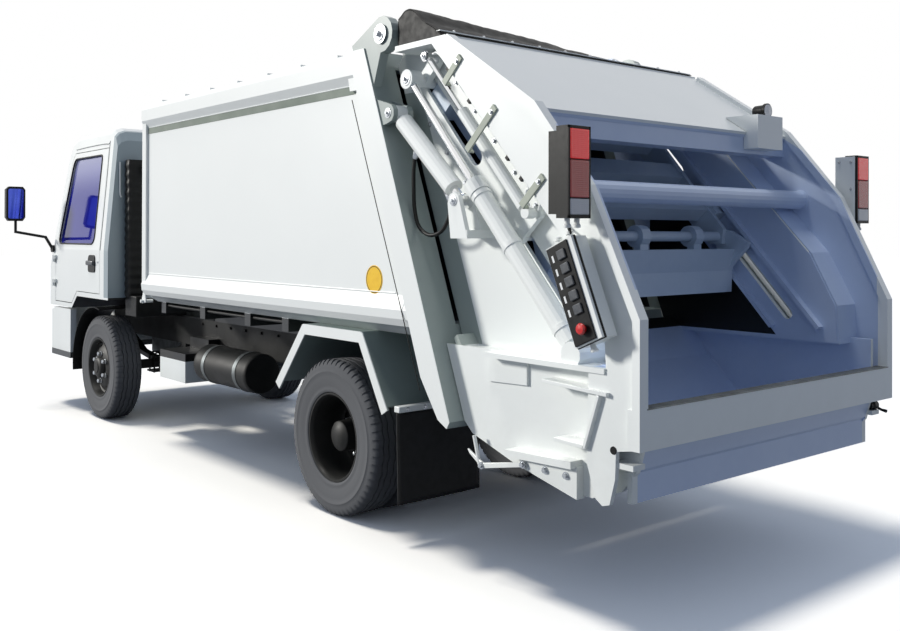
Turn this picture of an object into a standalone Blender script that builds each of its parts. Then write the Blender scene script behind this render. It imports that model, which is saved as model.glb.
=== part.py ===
"""Garbage truck: a light cab-over refuse collector with a press-type rear hopper.

Metres. +X is forward, +Y is the truck's left, +Z is up. The origin is on the ground under the middle of the
truck. Every node is one closed solid with its own material.
"""
import math

import bmesh
import bpy
from mathutils import Matrix, Vector

# Running clearances
SEAT = 0.0003          # between pieces that touch
RUN = 0.006            # between pieces that move past each other
PIN_PLAY = 0.0015      # between a pin and its bore
MERGE = 0.00005        # points closer than this are one point

# Wheels and axles
WHEELBASE = 3.35
REAR_AXLE_X = -1.20
FRONT_AXLE_X = REAR_AXLE_X + WHEELBASE
TYRE_R = 0.395
TYRE_W = 0.205
BEAD_R = 0.225
FRONT_TYRE_Y = 0.7145
TWIN_GAP = 0.030
REAR_OUTER_TYRE_Y = 0.7385
REAR_INNER_TYRE_Y = REAR_OUTER_TYRE_Y - TYRE_W - TWIN_GAP
KINGPIN_Y = 0.635
WHEEL_SIDES = 24

# Chassis
RAIL_OUT_Y = 0.375
RAIL_IN_Y = 0.310
RAIL_WEB = 0.012
RAIL_LOW = 0.600
RAIL_TOP = 0.800
RAIL_REAR_X = -1.98
RAIL_FRONT_X = 2.98

# Container body
BODY_FRONT_X = 1.10
BODY_HALF_W = 0.901
BODY_FLOOR_LOW = 0.960
BODY_FLOOR_TOP = 1.030
BODY_ROOF = 2.310
BODY_WALL = 0.040
BODY_IN_Y = BODY_HALF_W - 0.069
POST_IN_Y = BODY_HALF_W - 0.161
POST_LOW = 0.600

# The slanted face where the tailgate meets the body: X falls by SPLIT_SLOPE for each metre down
SPLIT_TOP_X = -1.58
SPLIT_SLOPE = 0.385
POST_DEPTH = 0.135

# Tailgate
HINGE_X, HINGE_Z = -1.711, BODY_ROOF + 0.047
HINGE_EAR_IN_Y = BODY_HALF_W - 0.056
HINGE_PIN_R = 0.030
SIDE_IN_Y = BODY_HALF_W - 0.201
SIDE_T = 0.020
WING_OUT_Y = BODY_HALF_W - 0.016
LOWER_OUT_Y = BODY_HALF_W - 0.081
LIP_X = -3.25
LIP_LOW, LIP_TOP = 0.678, 0.820
SHEET = 0.030

# Packing mechanism: its slide runs down and to the rear, along the line through these two pins
ROD_PIN = Vector((-1.852, 0.0, 2.135))
PRESS_PIN = Vector((-2.50, 0.0, 1.42))
SLIDE = (PRESS_PIN - ROD_PIN).normalized()
SLIDE_NORMAL = Vector((SLIDE.z, 0.0, -SLIDE.x))
SLIDE_STROKE = 0.50
CRANK_R = 0.140
CRANK_PIN = PRESS_PIN + CRANK_R * SLIDE_NORMAL
TRUNNION_PIN = ROD_PIN + CRANK_R * SLIDE_NORMAL
PRESS_LENGTH = (PRESS_PIN - ROD_PIN).length
CYLINDER_Y = WING_OUT_Y - 0.055
PRESS_CYLINDER_Y = WING_OUT_Y - 0.075
CARRIAGE_IN_Y = SIDE_IN_Y - 0.100
CARRIAGE_OUT_Y = SIDE_IN_Y - 0.075
PANEL_OUT_Y = SIDE_IN_Y - 0.045
GUIDE_IN_Y = SIDE_IN_Y - 0.038
ARM_IN_Y, ARM_OUT_Y = SIDE_IN_Y + 0.035, SIDE_IN_Y + 0.065
CRANK_PIN_END_Y = ARM_OUT_Y + 0.019
SLIDE_SHAFT_R = 0.030
PRESS_SHAFT_R = 0.020
PRESS_PIN_R = 0.024
CRANK_PIN_R = 0.012

# Tailgate lift cylinders
LIFT_BODY_PIN = Vector((-1.765, 0.0, BODY_ROOF - 0.325))
LIFT_GATE_PIN = Vector((-2.235, 0.0, 1.570))
LIFT_Y = BODY_HALF_W - 0.066
LIFT_EYE_IN_Y, LIFT_EYE_OUT_Y = LIFT_Y - 0.029, LIFT_Y + 0.033
LIFT_PIN_R = 0.014

# Cab
CAB_REAR_X = 1.83
CAB_FRONT_X = 3.21
CAB_LOW = 0.83
CAB_FLOOR = 0.93
CAB_ROOF = 2.235
CAB_HALF_W = 0.860
CAB_ROOF_HALF_W = 0.775
CAB_BELT = 1.30
CAB_WALL = 0.045
CAB_FLOOR_T = 0.022
BUMPER_X = 3.25
BUMPER_LOW, BUMPER_TOP = 0.42, 0.815

FINISHES = {
    # name: (red, green, blue), roughness, metallic
    "white_paint": ((0.86, 0.89, 0.87), 0.30, 0.0),
    "chassis_black": ((0.02, 0.02, 0.022), 0.55, 0.0),
    "grey_steel": ((0.35, 0.38, 0.40), 0.50, 0.6),
    "tyre": ((0.02, 0.02, 0.02), 0.85, 0.0),
    "rubber": ((0.025, 0.025, 0.028), 0.75, 0.0),
    "glass": ((0.05, 0.08, 0.35), 0.05, 0.0),
    "black_plastic": ((0.03, 0.03, 0.03), 0.45, 0.0),
    "lamp_red": ((0.55, 0.02, 0.02), 0.25, 0.0),
    "chrome": ((0.75, 0.75, 0.76), 0.15, 1.0),
    "cloth": ((0.12, 0.13, 0.15), 0.90, 0.0),
}


def clear_scene():
    for thing in list(bpy.data.objects):
        bpy.data.objects.remove(thing, do_unlink=True)


def to_object(shape, name="piece"):
    bmesh.ops.recalc_face_normals(shape, faces=shape.faces)
    mesh = bpy.data.meshes.new(name)
    shape.to_mesh(mesh)
    shape.free()
    thing = bpy.data.objects.new(name, mesh)
    bpy.context.scene.collection.objects.link(thing)
    return thing


def lofted(loops, fold=None):
    """Closed solid through loops of equally many points. A fold names the two points its ends bend between."""
    shape = bmesh.new()
    rings = [[shape.verts.new(point) for point in loop] for loop in loops]
    for near, far in zip(rings, rings[1:]):
        for i in range(len(near)):
            j = (i + 1) % len(near)
            shape.faces.new((near[i], near[j], far[j], far[i]))
    for ring in (rings[0], rings[-1]):
        if fold is None:
            shape.faces.new(ring)
        else:
            first, second = fold
            shape.faces.new(ring[first:second + 1])
            shape.faces.new(ring[second:] + ring[:first + 1])
    return to_object(shape)


def extruded(outline, axis, low, high):
    """Outline of (first, second) coordinates in X, Y, Z order, extruded along the axis that is left."""
    places = {
        "X": lambda first, second, along: (along, first, second),
        "Y": lambda first, second, along: (first, along, second),
        "Z": lambda first, second, along: (first, second, along),
    }
    place = places[axis]
    return lofted([[place(a, b, along) for a, b in outline] for along in (low, high)])


def block(x_range, y_range, z_range):
    (x0, x1), (y0, y1), (z0, z1) = x_range, y_range, z_range
    return extruded([(x0, z0), (x1, z0), (x1, z1), (x0, z1)], "Y", y0, y1)


def bar(start, end, radius, sides=14, end_radius=None):
    """Round bar between two points."""
    start, end = Vector(start), Vector(end)
    along = (end - start).normalized()
    guide = Vector((0, 0, 1)) if abs(along.z) < 0.9 else Vector((1, 0, 0))
    u = along.cross(guide).normalized()
    v = along.cross(u)
    loops = []
    for centre, size in ((start, radius), (end, radius if end_radius is None else end_radius)):
        turns = [math.tau * (k + 0.5) / sides for k in range(sides)]
        loops.append([centre + size * (math.cos(t) * u + math.sin(t) * v) for t in turns])
    return lofted(loops)


def turned(profile, centre, side, sides=WHEEL_SIDES):
    """Solid turned about an axle along Y. Profile points are (radius, distance outward from centre)."""
    shape = bmesh.new()
    rings = []
    for radius, out in profile:
        y = centre[1] + side * out
        if radius == 0:
            rings.append([shape.verts.new((centre[0], y, centre[2]))])
            continue
        ring = []
        for k in range(sides):
            turn = math.tau * (k + 0.5) / sides
            reach = radius / math.cos(math.pi / sides)
            x, z = centre[0] + reach * math.sin(turn), centre[2] + reach * math.cos(turn)
            ring.append(shape.verts.new((x, y, z)))
        rings.append(ring)
    for near, far in zip(rings, rings[1:] + rings[:1]):
        if len(near) == 1 and len(far) == 1:
            continue
        for k in range(sides):
            m = (k + 1) % sides
            if len(near) == 1:
                shape.faces.new((near[0], far[k], far[m]))
            elif len(far) == 1:
                shape.faces.new((near[k], near[m], far[0]))
            else:
                shape.faces.new((near[k], near[m], far[m], far[k]))
    return to_object(shape)


def evaluated(thing):
    graph = bpy.context.evaluated_depsgraph_get()
    mesh = bpy.data.meshes.new_from_object(thing.evaluated_get(graph))
    thing.modifiers.clear()
    thing.data = mesh
    return thing


def boolean(base, others, operation):
    for other in others:
        step = base.modifiers.new(operation.lower(), "BOOLEAN")
        step.operation = operation
        step.object = other
    evaluated(base)
    for other in others:
        bpy.data.objects.remove(other, do_unlink=True)
    return base


def joined(pieces, cuts=()):
    """Union of the pieces, less the cuts."""
    base = boolean(pieces[0], pieces[1:], "UNION")
    return boolean(base, list(cuts), "DIFFERENCE") if cuts else base


def common(base, other):
    return boolean(base, [other], "INTERSECT")


def tidied(mesh):
    """Clear the slivers that the unions leave and merge the faces that lie in one plane."""
    shape = bmesh.new()
    shape.from_mesh(mesh)
    bmesh.ops.remove_doubles(shape, verts=shape.verts, dist=MERGE)
    bmesh.ops.dissolve_degenerate(shape, dist=MERGE, edges=shape.edges)
    bmesh.ops.dissolve_limit(shape, angle_limit=math.radians(0.05), verts=shape.verts, edges=shape.edges)
    bmesh.ops.triangulate(shape, faces=shape.faces)
    shape.to_mesh(mesh)
    shape.free()


def node(thing, name, finish, smooth=False, origin=None):
    """Give a solid its node name, its material and, where it moves, an origin on the axis that it moves about."""
    tidied(thing.data)
    if origin is not None:
        thing.data.transform(Matrix.Translation(-Vector(origin)))
        thing.location = Vector(origin)
    thing.name = name
    thing.data.name = name
    thing.data.materials.clear()
    thing.data.materials.append(bpy.data.materials[finish])
    if smooth:
        thing.data.shade_smooth()
        thing.data.set_sharp_from_angle(angle=math.radians(35))
    return thing


def make_finishes():
    for name, (colour, roughness, metallic) in FINISHES.items():
        material = bpy.data.materials.new(name)
        material.use_nodes = True
        shader = material.node_tree.nodes["Principled BSDF"]
        shader.inputs["Base Color"].default_value = (*colour, 1.0)
        shader.inputs["Roughness"].default_value = roughness
        shader.inputs["Metallic"].default_value = metallic


def split_x(z, back=0.0):
    """X of the slanted face between body and tailgate at height z, moved to the rear by back."""
    return SPLIT_TOP_X - SPLIT_SLOPE * (BODY_ROOF - 0.01 - z) - back


def sides():
    return (("L", 1), ("R", -1))


def span(side, near, far):
    """Y range on one side of the truck, near the middle first."""
    return (near, far) if side > 0 else (-far, -near)


def band(points, thickness):
    """Outline of a strip of even thickness that follows a line of (x, z) points."""
    half = thickness / 2
    normals = []
    for (ax, az), (bx, bz) in zip(points, points[1:]):
        length = math.hypot(bx - ax, bz - az)
        normals.append(((az - bz) / length, (bx - ax) / length))
    mitres = [normals[0]]
    for (ax, az), (bx, bz) in zip(normals, normals[1:]):
        scale = 1 + ax * bx + az * bz
        mitres.append(((ax + bx) / scale, (az + bz) / scale))
    mitres.append(normals[-1])
    upper = [(x + half * nx, z + half * nz) for (x, z), (nx, nz) in zip(points, mitres)]
    lower = [(x - half * nx, z - half * nz) for (x, z), (nx, nz) in zip(points, mitres)]
    return upper + lower[::-1]


def disc(x, z, radius, count=16):
    """Outline of a circle in the XZ plane."""
    turns = [math.tau * (k + 0.5) / count for k in range(count)]
    return [(x + radius * math.cos(t), z + radius * math.sin(t)) for t in turns]


def slot(start, end, radius, count=6):
    """Outline of a slot with round ends in the XZ plane."""
    heading = math.atan2(end[1] - start[1], end[0] - start[0])
    outline = []
    for (x, z), first in ((end, heading - math.pi / 2), (start, heading + math.pi / 2)):
        for k in range(count + 1):
            turn = first + math.pi * k / count
            outline.append((x + radius * math.cos(turn), z + radius * math.sin(turn)))
    return outline


def xz(point):
    return (point[0], point[2])


# Chassis

def make_chassis():
    pieces = []
    recesses = []
    flange = 0.015
    for _, side in sides():
        pieces.append(block((RAIL_REAR_X, RAIL_FRONT_X), span(side, RAIL_IN_Y, RAIL_OUT_Y), (RAIL_LOW, RAIL_TOP)))
        recesses.append(block((RAIL_REAR_X - 0.1, RAIL_FRONT_X + 0.1),
                              span(side, RAIL_IN_Y - 0.1, RAIL_OUT_Y - RAIL_WEB),
                              (RAIL_LOW + flange, RAIL_TOP - flange)))
    rails = [joined([rail], [recess]) for rail, recess in zip(pieces, recesses)]
    web_y = RAIL_OUT_Y - RAIL_WEB / 2
    for x in (-1.90, -0.62, -0.10, 0.55, 2.85):
        rails.append(block((x - 0.05, x + 0.05), (-web_y, web_y), (RAIL_LOW + 0.03, RAIL_TOP - 0.03)))
    for _, side in sides():
        rails.append(block((1.86, 1.95), span(side, RAIL_IN_Y, RAIL_OUT_Y), (RAIL_TOP - 0.01, CAB_FLOOR - SEAT)))
        rails.append(block((2.88, 2.97), span(side, RAIL_IN_Y, RAIL_OUT_Y), (RAIL_TOP - 0.01, CAB_LOW - SEAT)))
    node(joined(rails), "chassis_frame", "chassis_black")


def leaf_spring(axle_x, half_span, seat_z, side):
    """Bow-shaped leaf pack that hangs from the rail and sits on its axle."""
    top = RAIL_LOW - SEAT
    half = [(0.08, seat_z + 0.018), (half_span * 0.5, seat_z + 0.045), (half_span, top - 0.017),
            (half_span + 0.05, top - 0.017)]
    line = [(axle_x - out, z) for out, z in half[::-1]] + [(axle_x + out, z) for out, z in half]
    return extruded(band(line, 0.034), "Y", *span(side, RAIL_IN_Y + 0.002, RAIL_OUT_Y - 0.002))


def make_front_axle():
    z = TYRE_R
    pieces = [block((FRONT_AXLE_X - 0.035, FRONT_AXLE_X + 0.035), (-0.585, 0.585), (z - 0.035, z + 0.030))]
    cuts = []
    for _, side in sides():
        y = side * KINGPIN_Y
        pieces.append(bar((FRONT_AXLE_X, y, z - 0.04), (FRONT_AXLE_X, y, z + 0.04), 0.036))
        pieces.append(block((FRONT_AXLE_X - 0.02, FRONT_AXLE_X + 0.02), span(side, 0.57, KINGPIN_Y - 0.01),
                            (z - 0.03, z + 0.025)))
        pieces.append(leaf_spring(FRONT_AXLE_X, 0.55, z + 0.020, side))
        cuts.append(bar((FRONT_AXLE_X, y, z - 0.1), (FRONT_AXLE_X, y, z + 0.1), 0.016 + PIN_PLAY))
    node(joined(pieces, cuts), "front_axle", "chassis_black")


def make_knuckle(label, side):
    """Forked knuckle with its kingpin and the spindle that carries the front wheel."""
    x, y, z = FRONT_AXLE_X, KINGPIN_Y, TYRE_R
    web = (y + 0.043, y + 0.060)
    pieces = [bar((x, side * y, z - 0.085), (x, side * y, z + 0.085), 0.016)]
    lug_gap = 0.040 + SEAT
    for low, high in ((z - 0.085, z - lug_gap), (z + lug_gap, z + 0.085)):
        pieces.append(block((x - 0.034, x + 0.034), span(side, y - 0.034, web[1]), (low, high)))
    pieces.append(block((x - 0.04, x + 0.04), span(side, *web), (z - 0.085, z + 0.085)))
    pieces.append(bar((x, side * (web[1] - 0.005), z), (x, side * (FRONT_TYRE_Y + 0.045), z), 0.026))
    pieces.append(bar((x, side * (web[1] - 0.005), z), (x, side * (FRONT_TYRE_Y - 0.010 - SEAT), z), 0.045))
    node(joined(pieces), f"knuckle_{label}", "chassis_black", origin=(x, side * y, z))


def make_rear_axle():
    x, z = REAR_AXLE_X, TYRE_R
    pieces = [bar((x, -0.440 + SEAT, z), (x, 0.440 - SEAT, z), 0.052), bar((x, -0.11, z), (x, 0.11, z), 0.15, 18)]
    for _, side in sides():
        pieces.append(bar((x, side * 0.40, z), (x, side * 0.59, z), 0.035))
        pieces.append(block((x - 0.05, x + 0.05), span(side, RAIL_IN_Y, RAIL_OUT_Y), (z + 0.02, z + 0.07)))
        pieces.append(leaf_spring(x, 0.58, z + 0.060, side))
    pieces.append(bar((x + 0.10, 0, z + 0.02), (0.869, 0, 0.56), 0.038))
    node(joined(pieces), "rear_axle", "chassis_black")


def make_engine():
    mounts_y = RAIL_OUT_Y - RAIL_WEB - SEAT
    pieces = [block((1.30, 2.45), (-0.26, 0.26), (TYRE_R + 0.060, 0.905)),
              block((0.872 + SEAT, 1.32), (-0.15, 0.15), (0.46, 0.78))]
    for x in (1.55, 2.35):
        pieces.append(block((x - 0.05, x + 0.05), (-mounts_y, mounts_y), (0.64, 0.72)))
    node(joined(pieces), "engine_block", "grey_steel")


def make_tanks():
    y_face = RAIL_OUT_Y + SEAT
    tank = [(-0.42, 0.40), (-0.46, 0.37), (-0.77, 0.37), (-0.81, 0.41), (-0.81, 0.68), (-0.77, 0.72),
            (-0.46, 0.72), (-0.42, 0.69)]
    pieces = [extruded(tank, "X", 0.02, 0.78)]
    for x in (0.15, 0.65):
        pieces.append(block((x - 0.03, x + 0.03), (-0.45, -y_face), (0.61, 0.70)))
    node(joined(pieces), "fuel_tank", "chassis_black")

    pieces = [block((0.92, 1.34), (0.42, 0.66), (0.40, 0.60)),
              block((0.98, 1.28), (y_face, 0.46), (0.57, 0.68))]
    node(joined(pieces), "battery_box", "white_paint")

    pieces = [bar((0.02, 0.56, 0.555), (0.74, 0.56, 0.555), 0.125, 18)]
    for x in (0.16, 0.60):
        pieces.append(block((x - 0.03, x + 0.03), (y_face, 0.50), (0.62, 0.70)))
    node(joined(pieces), "oil_tank", "chassis_black", smooth=True)

    pieces = [bar((-0.55, -0.56, 0.52), (-0.08, -0.56, 0.52), 0.10, 18),
              bar((-0.32, -0.60, 0.52), (-0.32, -0.84, 0.47), 0.032, 12)]
    for x in (-0.45, -0.18):
        pieces.append(block((x - 0.02, x + 0.02), (-0.50, -y_face), (0.61, 0.66)))
        pieces.append(block((x - 0.02, x + 0.02), (-0.52, -0.47), (0.58, 0.65)))
    node(joined(pieces), "silencer", "grey_steel", smooth=True)


def make_bumper():
    inner = 0.045
    half = CAB_HALF_W + 0.002
    outline = [(2.64, half), (3.10, half), (3.19, half - 0.032), (3.24, half - 0.122), (BUMPER_X, half - 0.262)]
    outline = outline + [(x, -y) for x, y in outline[::-1]]
    inside = [(2.64, half - inner), (3.08, half - inner), (3.155, half - 0.072), (3.19, half - 0.142),
              (BUMPER_X - 0.055, half - 0.262)]
    outline = outline + [(x, -y) for x, y in inside] + inside[::-1]
    pieces = [extruded(outline, "Z", BUMPER_LOW, BUMPER_TOP)]
    for _, side in sides():
        pieces.append(block((RAIL_FRONT_X + SEAT, 3.22), span(side, RAIL_IN_Y, RAIL_OUT_Y), (0.63, 0.77)))
    front_step = block((3.05, 3.40), (-1.0, 1.0), (BUMPER_TOP - 0.025, BUMPER_TOP + 0.1))
    node(joined(pieces, [front_step]), "bumper", "white_paint")


# Wheels

TYRE_PROFILE = (
    # radius, distance from the tyre's middle as a share of half its width
    (BEAD_R, -0.80), (0.236, -0.94), (0.310, -1.00), (0.365, -0.96), (TYRE_R, -0.72),
    (TYRE_R, 0.72), (0.365, 0.96), (0.310, 1.00), (0.236, 0.94), (BEAD_R, 0.80),
)

FRONT_RIM_PROFILE = (
    # radius, distance outward from the tyre's middle
    (0, 0.125), (0.045, 0.125), (0.078, 0.110), (0.085, 0.075), (0.125, 0.072), (0.190, 0.040), (0.206, 0.055),
    (0.212, 0.095), (BEAD_R - SEAT, 0.095), (BEAD_R - SEAT, -0.095), (0.205, -0.095), (0.199, 0.010),
    (0.188, 0.020), (0.150, 0.030), (0.150, -0.010), (0.0275, -0.010), (0.0275, 0.055), (0, 0.055),
)

REAR_RIM_PROFILE = (
    # radius, distance from the truck's middle
    (0, 0.800), (0.050, 0.800), (0.076, 0.788), (0.084, 0.665), (0.130, 0.640), (0.188, 0.640), (0.200, 0.660),
    (0.206, 0.800), (0.212, 0.830), (BEAD_R - SEAT, 0.830), (BEAD_R - SEAT, 0.412), (0.205, 0.412),
    (0.199, 0.590), (0.188, 0.604), (0.150, 0.604), (0.150, 0.440), (0.0365, 0.440), (0.0365, 0.605), (0, 0.605),
)


def make_tyre(name, x, y, side):
    profile = [(radius, share * TYRE_W / 2) for radius, share in TYRE_PROFILE]
    node(turned(profile, (x, y, TYRE_R), side), name, "tyre", smooth=True, origin=(x, y, TYRE_R))


def make_wheels():
    for label, side in sides():
        make_tyre(f"tyre_F{label}", FRONT_AXLE_X, side * FRONT_TYRE_Y, side)
        hub = (FRONT_AXLE_X, side * FRONT_TYRE_Y, TYRE_R)
        node(turned(FRONT_RIM_PROFILE, hub, side), f"rim_F{label}", "chassis_black", smooth=True, origin=hub)
        make_tyre(f"tyre_R{label}_outer", REAR_AXLE_X, side * REAR_OUTER_TYRE_Y, side)
        make_tyre(f"tyre_R{label}_inner", REAR_AXLE_X, side * REAR_INNER_TYRE_Y, side)
        hub = (REAR_AXLE_X, 0, TYRE_R)
        node(turned(REAR_RIM_PROFILE, hub, side), f"rim_R{label}", "chassis_black", smooth=True, origin=hub)


# Container body

def body_outline(inset=0.0):
    """Half section of the container, from the middle of the roof round to the middle of the floor."""
    out = BODY_HALF_W
    wall = out - 0.028
    rail = [(out - 0.041, BODY_ROOF), (out - 0.012, BODY_ROOF - 0.010), (out, BODY_ROOF - 0.040),
            (out, BODY_ROOF - 0.115), (wall, BODY_ROOF - 0.160), (wall, BODY_FLOOR_LOW + 0.190)]
    middle, radius = (out - 0.080, BODY_FLOOR_LOW + 0.110), 0.080
    turns = [math.radians(40 - 30 * k) for k in range(5)]
    bulge = [(middle[0] + radius * math.cos(t), middle[1] + radius * math.sin(t)) for t in turns]
    return rail + bulge + [(out - 0.121, BODY_FLOOR_LOW)]


def mirrored(half):
    return half + [(-y, z) for y, z in half[::-1]]


def rear_frame(side):
    """Box post behind the container wall, slanted along the split and ending in the hinge ear."""
    low, top = POST_LOW, BODY_ROOF
    outline = [(split_x(top), top), (split_x(low + 0.03), low + 0.03), (split_x(low) + 0.03, low),
               (split_x(low) + 0.09, low + 0.03), (split_x(0.80) + POST_DEPTH, 0.80),
               (split_x(top) + POST_DEPTH, top)]
    return extruded(outline, "Y", *span(side, POST_IN_Y, BODY_HALF_W))


def hinge_ear(side):
    foot = BODY_ROOF - 0.19
    outline = [(split_x(foot) + 0.002, foot), (split_x(foot) + 0.20, foot), (-1.40, BODY_ROOF - 0.005),
               (-1.52, HINGE_Z + 0.003)]
    outline += [(HINGE_X + 0.085 * math.cos(t), HINGE_Z + 0.085 * math.sin(t))
                for t in [math.radians(75 + 25 * k) for k in range(9)]]
    return extruded(outline, "Y", *span(side, HINGE_EAR_IN_Y, BODY_HALF_W - 0.008))


def make_body():
    outline = mirrored(body_outline())
    front, rear = BODY_FRONT_X, split_x(BODY_FLOOR_LOW) - 0.3
    shell = extruded(outline, "X", rear, front)
    trim = [(split_x(3.0) + POST_DEPTH / 2, 3.0), (split_x(0.2) + POST_DEPTH / 2, 0.2), (-4.5, 0.2), (-4.5, 3.0)]
    inside = block((rear - 0.2, front - BODY_WALL), (-BODY_IN_Y, BODY_IN_Y),
                   (BODY_FLOOR_TOP, BODY_ROOF - BODY_WALL))
    shell = joined([shell], [extruded(trim, "Y", -1.2, 1.2), inside])
    pieces = [shell]
    for _, side in sides():
        pieces.append(rear_frame(side))
        pieces.append(hinge_ear(side))
        pieces.append(bar((HINGE_X, side * (SIDE_IN_Y + SIDE_T), HINGE_Z), (HINGE_X, side * BODY_HALF_W, HINGE_Z),
                          HINGE_PIN_R, 16))
        for low, high in ((LIFT_EYE_IN_Y - 0.026, LIFT_EYE_IN_Y), (LIFT_EYE_OUT_Y, LIFT_EYE_OUT_Y + 0.025)):
            foot, head = LIFT_BODY_PIN.z - 0.055, LIFT_BODY_PIN.z + 0.075
            lug = [(split_x(foot) + 0.01, foot), (split_x(head) + 0.01, head)]
            lug += [(LIFT_BODY_PIN.x + 0.045 * math.cos(t), LIFT_BODY_PIN.z + 0.045 * math.sin(t))
                    for t in [math.radians(90 + 36 * k) for k in range(6)]]
            pieces.append(extruded(lug, "Y", *span(side, low, high)))
        pin = LIFT_BODY_PIN + Vector((0, side * (LIFT_EYE_IN_Y - 0.021), 0))
        pieces.append(bar(pin, pin + Vector((0, side * 0.10, 0)), LIFT_PIN_R, 12))
        pieces.append(block((-1.95, 1.05), span(side, RAIL_IN_Y, RAIL_OUT_Y), (RAIL_TOP + SEAT, 0.97)))
        pieces.append(block((BODY_FRONT_X - 0.05, BODY_FRONT_X + 0.012), span(side, BODY_HALF_W - 0.061, BODY_HALF_W - 0.011),
                            (1.10, BODY_ROOF - 0.11)))
    for x in (1.00, 0.40, -0.20, -0.64):
        pieces.append(block((x - 0.035, x + 0.035), (-BODY_HALF_W + 0.121, BODY_HALF_W - 0.121),
                            (BODY_FLOOR_LOW - 0.075, BODY_FLOOR_LOW + 0.015)))
    for k in range(7):
        x = 0.95 - 0.36 * k
        pieces.append(block((x - 0.03, x + 0.03), (-BODY_IN_Y + 0.002, BODY_IN_Y - 0.002),
                            (BODY_ROOF - 0.02, BODY_ROOF + 0.022)))
    for low, high in ((BODY_FLOOR_LOW - 0.06, BODY_FLOOR_TOP - 0.004), (BODY_ROOF - 0.09, BODY_ROOF - 0.005)):
        front_edge = POST_DEPTH - 0.004
        cross = [(split_x(high) + 0.004, high), (split_x(low) + 0.004, low), (split_x(low) + front_edge, low),
                 (split_x(high) + front_edge, high)]
        pieces.append(extruded(cross, "Y", -POST_IN_Y - 0.06, POST_IN_Y + 0.06))
    node(joined(pieces), "body_shell", "white_paint")


def make_mudguards():
    crown = BODY_FLOOR_LOW - SEAT - 0.006
    reach = TYRE_R + 0.064
    line = [(REAR_AXLE_X + reach, 0.632), (REAR_AXLE_X + 0.191, crown), (REAR_AXLE_X - 0.332, crown),
            (REAR_AXLE_X - reach - 0.071, 0.622)]
    for label, side in sides():
        near, far = RAIL_OUT_Y + 0.010, WING_OUT_Y
        sheet = extruded(band(line, 0.012), "Y", *span(side, near, far))
        rim = extruded(band([(x, z - 0.022) for x, z in line], 0.050), "Y", *span(side, far - 0.012, far))
        node(joined([sheet, rim]), f"mudguard_{label}", "white_paint")
        flap_x = -1.82
        hem = block((flap_x - 0.02, flap_x + 0.02), span(side, RAIL_OUT_Y + SEAT, far - 0.005), (0.612, 0.640))
        flap = block((flap_x - 0.005, flap_x + 0.005), span(side, near, far - 0.005), (0.19, 0.62))
        node(joined([flap, hem]), f"mudflap_{label}", "rubber")


def make_ejector():
    low, top = BODY_FLOOR_TOP + RUN, BODY_ROOF - 0.11
    outline = [(0.80, low), (0.95, low), (0.95, 1.70), (0.98, top), (0.94, top), (0.88, 1.72), (0.80, 1.30)]
    plate = extruded(outline, "Y", -BODY_IN_Y + RUN, BODY_IN_Y - RUN)
    ribs = [block((0.94, 1.02), (y - 0.03, y + 0.03), (low, 1.75)) for y in (-0.5, 0.0, 0.5)]
    shoes = [block((0.84, 1.02), span(side, 0.60, 0.68), (BODY_FLOOR_TOP + SEAT, low + 0.014))
             for _, side in sides()]
    node(joined([plate] + ribs + shoes), "ejector_panel", "grey_steel")


# Cab

def cab_loop(share, inset, nose, crown):
    """One lengthwise section of the cab at a share of its half width; nose and crown round its corners."""
    floor = min(inset, CAB_FLOOR_T)
    outline = [
        (CAB_REAR_X + inset, CAB_FLOOR + floor), (CAB_REAR_X + inset, CAB_BELT),
        (CAB_REAR_X + inset, 2.13 - crown - inset),
        (CAB_REAR_X + 0.05 + inset, 2.20 - crown - inset), (CAB_REAR_X + 0.15, CAB_ROOF - crown - inset),
        (2.70, CAB_ROOF - crown - inset), (2.84 - nose * 0.6 - inset * 0.5, 2.20 - crown - inset),
        (2.93 - nose - inset, 2.11 - crown - inset * 0.5), (3.15 - nose - inset, CAB_BELT),
        (CAB_FRONT_X - nose - inset, 1.16), (CAB_FRONT_X - nose - inset, CAB_LOW + floor),
        (2.62, CAB_LOW + floor), (2.50, CAB_FLOOR + floor),
    ]
    loop = []
    for x, z in outline:
        rise = max(0.0, z - CAB_BELT) / (CAB_ROOF - CAB_BELT)
        half = CAB_HALF_W + (CAB_ROOF_HALF_W - CAB_HALF_W) * rise - inset
        loop.append((x, share * half, z))
    return loop


def cab_solid(inset):
    sections = ((-1.0, 0.060, 0.050), (-0.97, 0.025, 0.018), (-0.91, 0.0, 0.0))
    loops = [cab_loop(share, inset, nose, crown) for share, nose, crown in sections]
    loops += [cab_loop(-share, inset, nose, crown) for share, nose, crown in sections[::-1]]
    return lofted(loops, fold=(1, 8))


def cab_skin(outer, inner):
    return joined([cab_solid(outer)], [cab_solid(inner)])


DOOR_PIN = (3.02, CAB_HALF_W + 0.015)
DOOR_HINGES = (0.99, 1.19)
HINGE_LEAF = 0.028
DOOR_OUTLINE = ((2.00, 0.965), (2.00, 2.085), (2.745, 2.085), (2.80, 2.02), (2.995, 1.36), (3.02, 1.27),
                (3.02, 0.865), (2.62, 0.865), (2.50, 0.965))
DOOR_WINDOW = ((2.13, 1.385), (2.12, 2.035), (2.725, 2.035), (2.765, 1.985), (2.945, 1.375), (2.92, 1.345),
               (2.17, 1.345))
WINDSCREEN = ((-0.70, 1.42), (0.70, 1.42), (0.62, 2.07), (-0.62, 2.07))
REAR_WINDOW = ((-0.45, 1.45), (0.45, 1.45), (0.42, 1.98), (-0.42, 1.98))


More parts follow.
